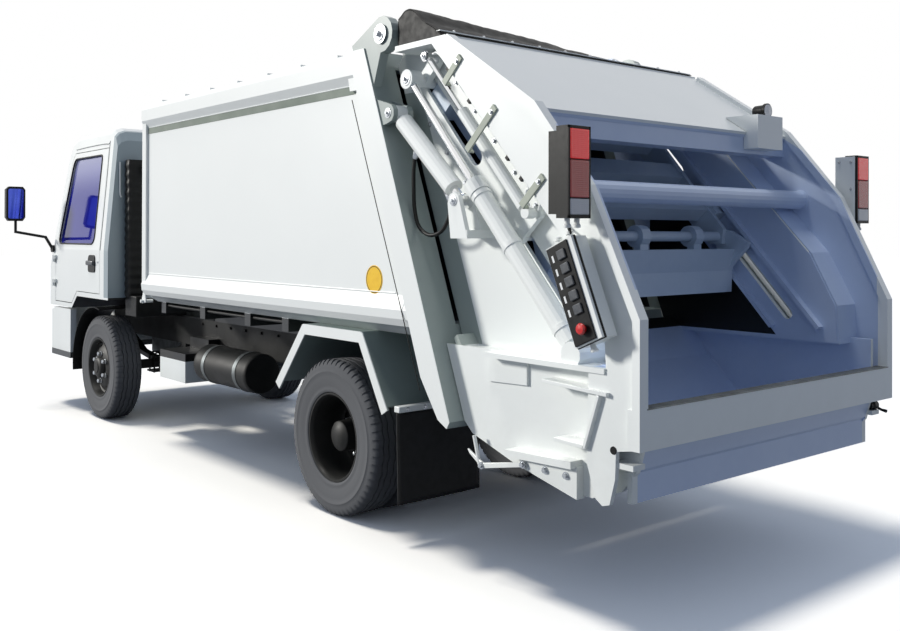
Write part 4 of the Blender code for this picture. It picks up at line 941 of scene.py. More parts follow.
@dataclass
class Mechanism:
    """Chromed rods, pipes, straps, hoses and pins outside the hopper's sides."""

    cylinder_y: float = 0.830
    rod_radius: float = 0.0182
    pipe_radius: float = 0.006
    hose_radius: float = 0.009
    hose_y: float = 0.835
    strap_half: float = 0.016
    strap_y: float = 0.8935
    lift_body_pin: tuple[float, float, float] = (-1.765, 0.0, 1.985)
    lift_gate_pin: tuple[float, float, float] = (-2.235, 0.0, 1.570)
    hinge_pin: tuple[float, float, float] = (-1.711, 0.0, 2.357)

    def build(self) -> None:
        """Build both sides."""
        self.channel()
        for side in Side:
            self.chrome_rod(side)
            self.pipes(side)
            self.straps(side)
            self.lift_hose(side)
            self.pins(side)

    def chrome_rod(self, side: Side) -> None:
        """Chromed skin of the slide cylinder's rod, its wiper, and the bands on the cylinder."""
        top = ROD_PIN + Y * side.sign * self.cylinder_y
        Shape().tube([top + SLIDE * 0.052, top + SLIDE * 0.94], self.rod_radius, 32).piece(
            f"slide_rod_skin_{side.label}", CHROME, "carriage")
        Shape().turned([(0.0190, -0.010), (0.030, -0.010), (0.036, 0.0), (0.036, 0.002), (0.0190, 0.002)],
                       top + SLIDE * 0.663, SLIDE).piece(f"rod_wiper_{side.label}", SEAL, "tailgate")
        bands = Shape()
        for along in (0.74, 1.02, 1.44):
            bands.turned([(0.0415, -0.012), (0.0450, -0.010), (0.0450, 0.010), (0.0415, 0.012)],
                         top + SLIDE * along, SLIDE)
        bands.piece(f"slide_cylinder_bands_{side.label}", WHITE, "tailgate")

    def pipes(self, side: Side) -> None:
        """Two steel pipes down the wing, with their clips, and the bend that leads each to a cylinder."""
        shape = Shape()
        for out, y, end in ((0.026, side.sign * 0.800, 0.86), (0.046, side.sign * 0.828, 0.80)):
            line = [on_wing(-0.02, out + 0.03, y), on_wing(0.03, out, y), on_wing(0.30, out, y),
                    on_wing(end, out, y), on_wing(end + 0.05, out + 0.02, y),
                    on_wing(end + 0.07, out + 0.07, y * 0.99)]
            shape.tube(flowing(line), self.pipe_radius)
        shape.piece(f"wing_pipes_{side.label}", WHITE, "tailgate")
        clips = Shape()
        for along in (0.12, 0.33, 0.47, 0.68, 0.80):
            clips.skin([[on_wing(along + shift, out, side.sign * y) for out, y in
                         ((0.008, 0.785), (0.036, 0.785), (0.058, 0.815), (0.058, 0.840), (0.008, 0.840))]
                        for shift in (-0.010, 0.010)])
        clips.piece(f"pipe_clips_{side.label}", SEAL, "tailgate", bevel=0.002)

    def straps(self, side: Side) -> None:
        """Flat bars welded across the wing's edge that carry the guard's fixings."""
        shape, heads = Shape(), Shape()
        half = self.strap_half
        for along, far in ((0.52, 0.162), (0.20, 0.070), (0.92, 0.085)):
            for near, ys in ((-0.080, both(side, 0.8855, self.strap_y)),
                             (far - 0.008, both(side, 0.860, 0.893))):
                shape.skin([[on_wing(along + shift, out, y) for out, shift in
                             ((near, -half), (far, -half), (far, half), (near, half))] for y in ys])
            heads.bolt(on_wing(along, -0.050, side.sign * self.strap_y), Y * side.sign, 0.014)
        shape.piece(f"wing_straps_{side.label}", STRAP, "tailgate", bevel=0.0015)
        heads.piece(f"strap_bolts_{side.label}", ZINC, "tailgate")

    def channel(self) -> None:
        """Channel that guards the pipes in front of the right slide cylinder."""
        shape = Shape()
        for near, far, low in ((0.056, 0.150, -0.805), (0.056, 0.061, -0.860), (0.145, 0.150, -0.860)):
            shape.skin([[ROD_PIN + SLIDE * along - SLIDE_NORMAL * out + Y * y for along, out in
                         ((0.92, near), (1.50, near), (1.50, far), (0.92, far))] for y in (low, -0.799)])
        shape.piece("pipe_channel", WHITE, "tailgate", bevel=0.001)

    def lift_hose(self, side: Side) -> None:
        """Hose that loops under the lift cylinder from its low port to the union on its barrel."""
        body = f"lift_barrel_{side.label}"
        route = flowing([(x, side.sign * self.hose_y, z) for x, z in
                         ((-2.128, 1.604), (-2.150, 1.560), (-2.138, 1.500), (-2.085, 1.440), (-2.000, 1.424),
                          (-1.925, 1.462), (-1.893, 1.540), (-1.886, 1.620), (-1.884, 1.700), (-1.892, 1.765),
                          (-1.905, 1.802))], 4)
        thing = Shape().tube(route, self.hose_radius, 14).piece(f"lift_hose_{side.label}", SEAL, body)
        ends = Shape()
        for spot, aim in ((route[0], route[1] - route[0]), (route[-1], route[-2] - route[-1])):
            ends.turned([(0.0092, 0.0), (0.0135, 0.002), (0.0135, 0.030), (0.0110, 0.034), (0.0092, 0.034)],
                        spot, aim, 20)
            ends.turned([(0.0002, -0.016), (0.0150, -0.016), (0.0150, 0.004), (0.0002, 0.004)], spot, aim, 6)
        fittings = ends.piece(f"hose_fittings_{side.label}", ZINC, body)

    def pins(self, side: Side) -> None:
        """Washers and bolt heads on every pin that shows."""
        out = Y * side.sign
        spots = (("tailgate", Vector(self.lift_gate_pin), 0.890, 0.020),
                 ("chassis", Vector(self.lift_body_pin), 0.893, 0.020),
                 ("chassis", Vector(self.hinge_pin), 0.901, 0.040),
                 ("carriage", ROD_PIN, 0.855, 0.026),
                 ("carriage", ROD_PIN + SLIDE_NORMAL * 0.140, 0.834, 0.016))
        for number, (body, spot, y, radius) in enumerate(spots):
            face = spot + out * y
            end = Shape().turned([(CORE, -0.001), (radius * 1.15, -0.001), (radius * 1.15, 0.003),
                                  (radius * 0.80, 0.0035), (radius * 0.78, 0.008), (CORE, 0.010)],
                                 face, out, 28)
            end.bolt(face + out * 0.008, out, radius * 0.62)
            end.piece(f"pin_end_{number}_{side.label}", ZINC, body)


@dataclass
class HopperFittings:
    """Welds, guide bolts and the worn edge strip inside the hopper, and the drain below it."""

    tube_end: tuple[float, float, float] = (-2.80, 0.8645, 1.60)
    weld_y: float = 0.7985
    guide_y: float = 0.7195
    guide_end_x: float = -3.02
    lip_half: float = 0.862

    def build(self) -> None:
        """Build the fittings."""
        beads, bolts = Shape(), Shape()
        for side in Side:
            spot = on_side(side, self.tube_end)[0]
            beads.tube([spot + 0.0455 * (math.cos(t) * X + math.sin(t) * Z) for t in angles(40)], 0.0045, 8,
                       ring=True)
            beads.tube(flowing([(x, side.sign * self.weld_y, z) for x, z in
                                ((-3.19, 0.79), (-3.135, 0.612), (-3.05, 0.524), (-2.90, 0.494),
                                 (-2.705, 0.518), (-2.51, 0.616), (-2.315, 0.803), (-2.21, 0.925))]),
                       0.005, 8)
            for offset, count in ((-0.128, 7), (0.128, 8)):
                for k in range(count):
                    spot = ROD_PIN + SLIDE * (0.15 + 0.19 * k) + SLIDE_NORMAL * offset
                    if spot.x > self.guide_end_x:
                        bolts.bolt(spot + Y * side.sign * self.guide_y, Y * side.sign, 0.015)
        beads.piece("hopper_welds", GATE, "tailgate")
        Shape().prism([(-3.252, 0.8205), (-3.196, 0.8205), (-3.196, 0.8245), (-3.252, 0.8245)], "Y",
                      -self.lip_half, self.lip_half).piece("lip_wear_strip", STEEL, "tailgate", bevel=0.001)
        Shape().turned([(CORE, 0.0), (0.016, 0.0), (0.016, 0.018), (0.022, 0.022), (0.022, 0.052),
                        (0.014, 0.058), (CORE, 0.058)], (-3.180, -0.822, 0.640), -Y, 24).tube(
            [(-3.180, -0.860, 0.640), (-3.215, -0.868, 0.622), (-3.240, -0.868, 0.618)],
            [0.006, 0.006, 0.008]).piece("drain_cock", PLASTIC, "tailgate")
        bolts.piece("guide_bolts", ZINC, "tailgate")


@dataclass
class Latch:
    """Lever of the latch below the ledge, its link and its pivot bolts, and the tub's ribs."""

    face_y: float = 0.856
    link_y: float = 0.861
    bolt_y: float = 0.866
    lever: Outline = ((-2.300, 0.530), (-2.312, 0.512), (-2.392, 0.462), (-2.640, 0.512), (-2.644, 0.532),
                      (-2.396, 0.486))
    ribs: tuple[Outline, ...] = (((-2.777, 0.872), (-3.100, 0.858)), ((-3.06, 0.852), (-2.990, 0.650)),
                                 ((-2.840, 0.661), (-2.990, 0.655)))
    rib_half: float = 0.007

    def build(self) -> None:
        """Build both sides."""
        for side in Side:
            link = on_side(side, (-2.372, self.link_y, 0.475), (-2.352, self.link_y, 0.545),
                           (-2.338, self.link_y, 0.590))
            Shape().prism(self.lever, "Y", *both(side, self.face_y, self.bolt_y)).tube(link, 0.008).piece(
                f"latch_lever_{side.label}", WHITE, "tailgate", bevel=0.002)
            bolts = Shape()
            for spot in on_side(side, (-2.635, self.bolt_y, 0.522), (-2.39, self.bolt_y, 0.474),
                                (-2.75, self.face_y, 0.520), (-2.86, self.face_y, 0.520)):
                bolts.bolt(spot, Y * side.sign, 0.018)
            bolts.piece(f"latch_bolts_{side.label}", ZINC, "tailgate")
            ribs = Shape()
            for start, end in self.ribs:
                a, b = Vector(start), Vector(end)
                way = (b - a).normalized() * self.rib_half
                shift = Vector((-way.y, way.x))
                ribs.prism([a + shift, b + shift, b - shift, a - shift], "Y", *both(side, 0.8195, 0.903))
            ribs.piece(f"tub_ribs_{side.label}", WHITE, "tailgate", bevel=0.0015)
            Shape().turned([(CORE, 0.0), (0.015, 0.0), (0.014, 0.003), (CORE, 0.003)],
                           (-3.119, side.sign * 0.8848, 0.663), Y * side.sign, 20).piece(
                f"wing_plug_{side.label}", SEAL, "tailgate")


@dataclass
class TailLamps:
    """Lenses, mounting plates, feet and leads of the two tail lamps."""

    inner_y: float = 0.940
    outer_y: float = 1.054
    face_x: float = -3.0535
    low: float = 1.485
    top: float = 1.811

    def build(self) -> None:
        """Build both lamps."""
        for side in Side:
            self.lamp(side)
            self.fixings(side)

    def lamp(self, side: Side) -> None:
        """Three lenses and the bezel between and round them."""
        front = self.face_x
        near, far = both(side, self.inner_y + 0.010, self.outer_y - 0.009)
        for label, low, high, finish in (("stop", 1.694, 1.800, RED_LENS), ("tail", 1.558, 1.690, DARK_LENS),
                                         ("reverse", 1.497, 1.554, CLEAR_LENS)):
            Shape().block((front - 0.009, near, low), (front, far, high)).piece(
                f"{label}_lens_{side.label}", finish, "tailgate", bevel=0.004)
        bezel = Shape()
        whole = (self.inner_y, self.outer_y)
        for ys, low, high in ((whole, self.low, 1.4965), (whole, 1.5545, 1.5575), (whole, 1.6905, 1.6935),
                              (whole, 1.8005, self.top),
                              ((self.inner_y, self.inner_y + 0.0095), self.low, self.top),
                              ((self.outer_y - 0.0085, self.outer_y), self.low, self.top)):
            near, far = both(side, *ys)
            bezel.block((front - 0.006, near, low), (front, far, high))
        bezel.piece(f"lamp_bezel_{side.label}", PLASTIC, "tailgate", bevel=0.0012)

    def fixings(self, side: Side) -> None:
        """Plate, screws, feet and lead of one lamp."""
        near, far = both(side, self.inner_y - 0.004, self.inner_y - 0.0005)
        Shape().block((-3.050, near, 1.490), (-2.950, far, 1.806)).piece(
            f"lamp_plate_{side.label}", WHITE, "tailgate", bevel=0.001)
        screws, feet = Shape(), Shape()
        for x, z in ((-3.03, 1.52), (-3.03, 1.65), (-3.03, 1.78), (-2.97, 1.52), (-2.97, 1.78)):
            screws.bolt((x, side.sign * (self.inner_y - 0.004), z), Y * -side.sign, 0.008)
        screws.piece(f"lamp_screws_{side.label}", ZINC, "tailgate")
        for y in (0.972, 1.022):
            feet.turned([(CORE, 0.0), (0.010, 0.0), (0.010, 0.020), (0.014, 0.024), (0.014, 0.034),
                         (CORE, 0.036)], (-3.022, side.sign * y, 1.486), -Z, 20)
        feet.piece(f"lamp_feet_{side.label}", WHITE, "tailgate")
        lead = on_side(side, (-2.985, 0.975, 1.500), (-2.985, 0.975, 1.470), (-2.975, 0.955, 1.436),
                       (-2.945, 0.925, 1.430), (-2.915, 0.900, 1.446), (-2.890, 0.889, 1.470))
        Shape().tube(flowing(lead, 6), 0.0045, 10).piece(f"lamp_lead_{side.label}", SEAL, "tailgate")


@dataclass
class SwitchBox:
    """Face, seal, buttons and stop button of the loading controls on the left."""

    top: tuple[float, float, float] = (-2.942, 0.0, 1.398)
    foot: tuple[float, float, float] = (-3.092, 0.0, 1.048)
    half: float = 0.0675
    face_y: float = 0.985
    gland_y: float = 0.945
    rows: int = 5
    pitch: float = 0.052

    def spot(self, along: float, across: float, y: float) -> Vector:
        """Place on the face: down from the top, towards the rear from the middle, and outward."""
        way = (Vector(self.foot) - Vector(self.top)).normalized()
        return Vector(self.top) + way * along + Vector((way.z, 0, -way.x)) * across + Y * y

    def pad(self, shape: Shape, along: tuple[float, float], across: tuple[float, float],
            out: tuple[float, float]) -> Shape:
        """Add a block that lies square on the face.

        Args:
            shape: The mesh that it joins.
            along: Its range down the face.
            across: Its range across the face.
            out: Its range outward from the face.

        Returns:
            The shape.
        """
        return shape.skin([[self.spot(along[i], across[j], self.face_y + shift) for i, j in
                            ((0, 0), (1, 0), (1, 1), (0, 1))] for shift in out])

    def build(self) -> None:
        """Build the controls."""
        length = math.dist(self.top, self.foot)
        half = self.half
        self.pad(Shape(), (0.004, length - 0.004), (-half + 0.004, half - 0.022), (0, 0.006)).piece(
            "switch_face", PLASTIC, "tailgate", bevel=0.003)
        self.pad(Shape(), (-0.003, length + 0.003), (-half - 0.003, half + 0.003), (-0.022, -0.012)).piece(
            "switch_seal", SEAL, "tailgate", bevel=0.002)
        buttons, marks, glands = Shape(), Shape(), Shape()
        for k in range(self.rows):
            along = 0.030 + self.pitch * k
            self.pad(buttons, (along, along + 0.036), (-0.014, 0.026), (0.005, 0.014))
            self.pad(marks, (along + 0.006, along + 0.032), (-0.046, -0.037), (0.0055, 0.0066))
        buttons.piece("switch_buttons", BUTTON, "tailgate", bevel=0.003)
        marks.piece("switch_marks", MARK, "tailgate")
        foot = self.spot(length - 0.052, 0.002, self.face_y + 0.005)
        Shape().turned([(CORE, 0.0), (0.013, 0.0), (0.013, 0.010), (0.020, 0.012), (0.021, 0.018),
                        (0.017, 0.024), (CORE, 0.026)], foot, Y).piece("stop_button", STOP_RED, "tailgate")
        down = self.spot(1, 0, 0) - self.spot(0, 0, 0)
        for along, across, way in ((-0.004, -0.03, -down), (-0.004, 0.03, -down),
                                   (length + 0.004, -0.02, down)):
            glands.turned([(CORE, -0.004), (0.011, -0.004), (0.011, 0.014), (0.015, 0.016), (0.015, 0.024),
                           (CORE, 0.026)], self.spot(along, across, self.gland_y), way, 20)
        glands.piece("switch_glands", WHITE, "tailgate")


@dataclass
class RoofFittings:
    """Work lamp on its bracket and the rubber cover over the hinge."""

    lamp: tuple[float, float, float] = (-2.695, -0.691, 2.035)
    cover_half: float = 0.868
    cover_top: float = 2.2886
    thickness: float = 0.004
    columns: int = 96
    rows: int = 26

    def build(self) -> None:
        """Build the lamp and the cover."""
        centre = Vector(self.lamp)
        Shape().turned([(CORE, -0.036), (0.024, -0.034), (0.029, -0.026), (0.030, 0.020), (0.036, 0.026),
                        (0.036, 0.040), (CORE, 0.040)], centre, -X).tube(
            [centre - Z * 0.045, centre - Z * 0.026], 0.0135, 16).piece("work_lamp", PLASTIC, "tailgate")
        Shape().turned([(CORE, 0.0395), (0.032, 0.0395), (0.031, 0.042), (CORE, 0.045)], centre, -X).piece(
            "work_lamp_glass", CLEAR_LENS, "tailgate")
        self.cover()

    def height(self, u: float, v: float) -> Vector:
        """Place on the cover.

        Args:
            u: From 0 at the right edge to 1 at the left.
            v: From 0 at the front edge to 1 at the rear.

        Returns:
            The point.
        """
        y = (2 * u - 1) * self.cover_half
        front, rear = -1.835 + 0.028 * u, -2.150 + 0.030 * u
        x = front + (rear - front) * v
        crest = 0.020 + 0.140 * u ** 0.8
        rise = crest * (0.72 + 0.28 * math.sin(math.pi * min(1.0, v * 1.6))) * (1 - v ** 2.2)
        lump = 0.012 * noise.noise(Vector((x * 9, y * 7, 0.3)))
        lump += 0.005 * noise.noise(Vector((x * 30, y * 22, 1.7)))
        lump *= (0.25 + 0.75 * (1 - v)) * min(1.0, 2.5 * (1 - v))
        return Vector((x, y, self.cover_top + 0.008 + rise + lump))

    def cover(self) -> None:
        """Rubber sheet that keeps rain out of the hinge, wrinkled and higher on the left."""
        grid = [[self.height(i / (self.columns - 1), j / (self.rows - 1)) for j in range(self.rows)]
                for i in range(self.columns)]
        sheet_piece("hinge_rubber", grid, "tailgate", self.thickness,
                    "hinge_cover")
        flaps, clamp, bolts = Shape(), Shape(), Shape()
        across = [self.height(u / 40, 0.0) for u in range(41)]
        for edge, inward in (([self.height(0.0, v / 12) for v in range(13)], Y),
                             ([self.height(1.0, v / 12) for v in range(13)], -Y), (across, -X)):
            line = [p - Z * self.thickness for p in edge]
            foot = [Vector((p.x, p.y, self.cover_top + 0.0005)) for p in reversed(line)]
            flaps.skin([[p + shift for p in line + foot] for shift in (Vector(), inward * self.thickness)])
        flaps.piece("hinge_rubber_flaps", SHEET, "tailgate")
        rear = [self.height(u / 40, 0.94) + Z * 0.003 for u in range(41)]
        clamp.skin([[p + X * x + Z * z for x, z in ((0.012, 0), (-0.012, 0), (-0.012, 0.004), (0.012, 0.004))]
                    for p in rear])
        clamp.piece("cover_clamp", WHITE, "tailgate")
        for spot in rear[2:40:4]:
            bolts.bolt(spot + Z * 0.004, Z, 0.012)
        bolts.piece("cover_bolts", ZINC, "tailgate")


@dataclass
class Mudflaps:
    """Rubber flaps behind the rear wheels, each clamped under a steel rail."""

    x: float = -1.820
    near_y: float = 0.386
    far_y: float = 0.879
    low: float = 0.192
    top: float = 0.618
    columns: int = 24
    rows: int = 20

    def spot(self, side: Side, across: float, down: float) -> Vector:
        """Place on a flap, from 0 to 1 outward and from 0 to 1 down."""
        y = side.sign * (self.near_y + (self.far_y - self.near_y) * across)
        z = self.top + (self.low - self.top) * down
        sway = -0.012 * down ** 2 + 0.006 * down * noise.noise(Vector((0, y * 6, z * 4)))
        return Vector((self.x + sway, y, z))

    def build(self) -> None:
        """Build both flaps."""
        for side in Side:
            near, far = both(side, self.near_y - 0.009, self.far_y + 0.001)
            rail = f"flap_rail_{side.label}"
            Shape().block((self.x - 0.020, near, 0.612), (self.x + 0.020, far, 0.640)).piece(
                rail, WHITE, "chassis", bevel=0.003)
            grid = [[self.spot(side, i / (self.columns - 1), j / (self.rows - 1)) for j in range(self.rows)]
                    for i in range(self.columns)]
            sheet_piece(f"rubber_flap_{side.label}", grid, "chassis", 0.007,
                        f"mudflap_{side.label}")
            bolts = Shape()
            for k in range(5):
                bolts.bolt((self.x - 0.020, side.sign * (0.43 + 0.10 * k), 0.626), -X, 0.014)
            bolts.piece(f"flap_bolts_{side.label}", ZINC, "chassis")


# Cab

def cab_half(z: float) -> float:
    """Half width of the cab's skin at a height."""
    return 0.860 - 0.085 * max(0.0, z - 1.30) / 0.935


def screen_x(z: float) -> float:
    """X of the cab's front skin at a height."""
    return 3.15 - (z - 1.30) * 0.22 / 0.81


@dataclass
class CabTrim:
    """Seals, handles, lamps, wipers, mirrors' glass and the fittings behind the cab."""

    door_window: Outline = ((2.13, 1.385), (2.12, 2.035), (2.725, 2.035), (2.765, 1.985), (2.945, 1.375),
                            (2.92, 1.345), (2.17, 1.345))
    windscreen: Outline = ((-0.70, 1.42), (0.70, 1.42), (0.62, 2.07), (-0.62, 2.07))
    rear_window: Outline = ((-0.45, 1.45), (0.45, 1.45), (0.42, 1.98), (-0.42, 1.98))
    handle: Outline = ((2.092, 1.128), (2.092, 1.262), (2.222, 1.262), (2.240, 1.235), (2.240, 1.128))
    drip_rail: Outline = ((1.99, 1.30), (1.99, 2.06), (2.03, 2.112), (2.40, 2.118), (2.73, 2.112))
    rear_x: float = 1.83
    duct: Outline = ((1.722, 0.600), (1.812, 0.600), (1.812, 0.742), (1.722, 0.742))
    duct_middle: tuple[float, float] = (1.767, 0.671)

    def build(self) -> None:
        """Build the cab's fittings."""
        self.seals()
        self.front()
        self.behind()
        for side in Side:
            self.door(side)
            self.mirror(side)
            self.arch(side)

    def seals(self) -> None:
        """Rubber seals of the windscreen and the rear window."""
        seals = Shape()
        seals.tube([(screen_x(z) + 0.001, y, z) for y, z in rounded(self.windscreen, 0.08, 6)], 0.010, 10,
                   ring=True)
        seals.tube([(self.rear_x - 0.001, y, z) for y, z in rounded(self.rear_window, 0.06, 6)], 0.009, 10,
                   ring=True)
        seals.piece("screen_seals", SEAL, "cab")

    def door(self, side: Side) -> None:
        """Seal round the door's window, its handle in a dark bezel, its lock and the drip rail above it."""
        door = f"door_leaf_{side.label}"
        window = [(x, side.sign * (cab_half(z) + 0.0005), z) for x, z in rounded(self.door_window, 0.035, 6)]
        Shape().tube(window, 0.0065, 10, ring=True).piece(f"door_seal_{side.label}", SEAL, door)
        bezel = Shape()
        depths = (0.853, 0.8665) if side is Side.LEFT else (0.853, 0.8605, 0.8665)
        for near, far in zip(depths, depths[1:]):
            bezel.prism(rounded(self.handle, 0.028), "Y", *both(side, near, far))
        bezel.piece(f"handle_bezel_{side.label}", PLASTIC, door, bevel=0.003)
        near, far = both(side, 0.862, 0.8845)
        Shape().block((2.097, near, 1.182), (2.243, far, 1.218)).piece(
            f"handle_grip_{side.label}", BUTTON, door, bevel=0.008)
        Shape().turned([(CORE, 0.0), (0.010, 0.0), (0.010, 0.003), (CORE, 0.004)],
                       (2.035, side.sign * 0.860, 1.21), Y * side.sign,
                       20).piece(f"door_lock_{side.label}", ZINC, door)
        rail = [(x, side.sign * (cab_half(z) - 0.001), z) for x, z in self.drip_rail]
        Shape().tube(flowing(rail, 6), 0.0045, 8).piece(f"drip_rail_{side.label}", STEEL, "cab")

    def mirror(self, side: Side) -> None:
        """Tinted glass in the mirror's rear face, and the bezel round it."""
        face = rounded([(1.082, 1.546), (1.208, 1.546), (1.208, 1.800), (1.082, 1.800)], 0.022)
        Shape().prism([(side.sign * y, z) for y, z in face], "X", 3.1325, 3.1355).piece(
            f"mirror_glass_{side.label}", MIRROR, "cab")
        Shape().tube([(3.1345, side.sign * y, z) for y, z in face], 0.0045, 10, ring=True).piece(
            f"mirror_bezel_{side.label}", PLASTIC, "cab")

    def arch(self, side: Side) -> None:
        """Black liner over the front wheel."""
        centre = Vector((FRONT_AXLE_X, 0, AXLE_HEIGHT))
        near, far = both(side, 0.620, 0.852)
        loops = []
        for k in range(33):
            turn = math.radians(-8 + 112 * k / 32)
            spoke = math.cos(turn) * X + math.sin(turn) * Z
            loops.append([centre + spoke * r + Y * y for r, y in
                          ((0.462, near), (0.462, far), (0.467, far), (0.467, near))])
        Shape().skin(loops).piece(f"arch_liner_{side.label}", PLASTIC, "chassis")

    def front(self) -> None:
        """Grille slats, headlamps, indicators, blank plate and wipers."""
        slats = Shape()
        for z in [1.036 + 0.021 * k for k in range(5)]:
            slats.prism([(3.234, z), (3.245, z + 0.002), (3.245, z + 0.009), (3.234, z + 0.012)], "Y",
                        -0.545, 0.545)
        slats.piece("grille_slats", PLASTIC, "cab", bevel=0.001)
        for side in Side:
            for name, finish, ys, face, bevel in (("headlamp", CLEAR_LENS, (0.515, 0.668), 3.247, 0.006),
                                                  ("indicator", AMBER_LENS, (0.674, 0.722), 3.245, 0.004)):
                near, far = both(side, *ys)
                Shape().block((3.2375, near, 0.912), (face, far, 1.028)).piece(
                    f"{name}_lens_{side.label}", finish, "cab", bevel=bevel)
            y = side.sign * 0.30
            foot = Vector((screen_x(1.36) + 0.010, y, 1.36))
            tip = Vector((screen_x(1.70) + 0.020, y - 0.26, 1.70))
            low = Vector((screen_x(1.46) + 0.008, tip.y + 0.06, 1.46))
            high = Vector((screen_x(1.95) + 0.008, tip.y - 0.03, 1.95))
            wiper = Shape().tube([foot - X * 0.012, foot + X * 0.012], 0.012, 16)
            wiper.tube([foot + X * 0.008, foot * 0.5 + tip * 0.5 + X * 0.014, tip], [0.007, 0.005, 0.004], 10)
            wiper.tube([low, low * 0.5 + high * 0.5 + X * 0.003, high], 0.005, 8)
            wiper.piece(f"wiper_{side.label}", PLASTIC, "cab")
        Shape().block((3.248, -0.165, 0.560), (3.2535, 0.165, 0.670)).piece(
            "blank_plate", MARK, "chassis", bevel=0.0015)

    def behind(self) -> None:
        """Ribbed air duct, its joints and the thin pipe on the cab's back."""
        loops = []
        middle = Vector(self.duct_middle)
        for k in range(61):
            bulge = 0.004 if k % 4 in (1, 2) else 0.0
            wider, deeper = 1 + bulge / 0.045, 1 + bulge / 0.071
            loops.append([Vector((middle.x + (x - middle.x) * wider, middle.y + (y - middle.y) * deeper,
                                  0.960 + 1.020 * k / 60)) for x, y in rounded(self.duct, 0.022)])
        Shape().skin(loops).piece("intake_duct", PLASTIC, "chassis", stands_for=["air_intake"])
        Shape().block((1.655, 0.560, 1.860), (1.740, 0.640, 1.960)).block(
            (1.60, 0.34, 0.812), (1.81, 0.735, 0.965)).piece("duct_joint", PLASTIC, "chassis", bevel=0.006)
        line = [(1.822, 0.775, 1.965), (1.820, 0.775, 1.90), (1.820, 0.775, 1.74), (1.821, 0.765, 1.70)]
        Shape().tube(flowing(line, 6), 0.007).piece("cab_back_pipe", WHITE, "cab")


@dataclass
class Seats:
    """Seat cushions and backs over their plinths."""

    rows: tuple[tuple[str, float, float], ...] = (("driver", -0.655, -0.145), ("crew", -0.095, 0.655))
    fill: float = 0.75
    squareness: int = 7
    seam_depth: float = 0.007
    seam_width: float = 0.022

    def build(self) -> None:
        """Build the seats."""
        plinth = Shape()
        for _, low, high in self.rows:
            plinth.block((1.925, low + 0.005, 0.9525), (2.335, high - 0.005, 1.125))
        plinth.piece("seat_plinths", VINYL_TRIM, "cab", bevel=0.012, stands_for=["seats"])
        for label, low, high in self.rows:
            seams = (-0.45, 0.45) if label == "driver" else (-0.62, -0.04, 0.04, 0.62)
            self.cushion(f"{label}_cushion", (1.955, low, 1.122), (2.462, high, 1.222), 2, 0.014, seams, 0.0)
            self.cushion(f"{label}_backrest", (1.905, low + 0.01, 1.225), (2.010, high - 0.01, 1.795),
                         0, 0.012, seams, -0.05)

    def cushion(self, name: str, low: Sequence[float], high: Sequence[float], facing: int, crown: float,
                seams: Sequence[float], lean: float) -> None:
        """Crowned pad with sewn channels.

        Args:
            name: The piece's name.
            low: Its lowest corner.
            high: Its highest corner.
            facing: Axis that its crowned face looks along.
            crown: Height of the crown.
            seams: Places of the sewn channels across it, from -1 to 1.
            lean: How far its top leans along X.
        """
        shape = bmesh.new()
        bmesh.ops.create_cube(shape, size=2.0)
        bmesh.ops.subdivide_edges(shape, edges=shape.edges, cuts=35, use_grid_fill=True)
        middle = (Vector(low) + Vector(high)) / 2
        half = (Vector(high) - Vector(low)) / 2
        for vert in shape.verts:
            spot = vert.co
            ball = spot * sum(abs(c) ** self.squareness for c in spot) ** (-1 / self.squareness)
            across, along = spot.y, spot[2 - facing]
            swell = crown * (1 - across ** 2) * (1 - along ** 2)
            for seam in seams:
                sunk = self.seam_depth * math.exp(-((across - seam) / self.seam_width) ** 2)
                swell -= sunk * (1 - along ** 6)
            place = Vector([middle[i] + half[i] * 0.97 * ball[i] for i in range(3)])
            if spot[facing] > 0:
                place[facing] += swell * abs(ball[facing])
            place.x += lean * (place.z - low[2]) / (high[2] - low[2])
            vert.co = place
        mesh = bpy.data.meshes.new(name)
        shape.to_mesh(mesh)
        shape.free()
        mesh.materials.append(CLOTH.build())
        mesh.shade_smooth()
        thing = new_object(name, mesh)
        mount(thing, "cab")


# Body and chassis

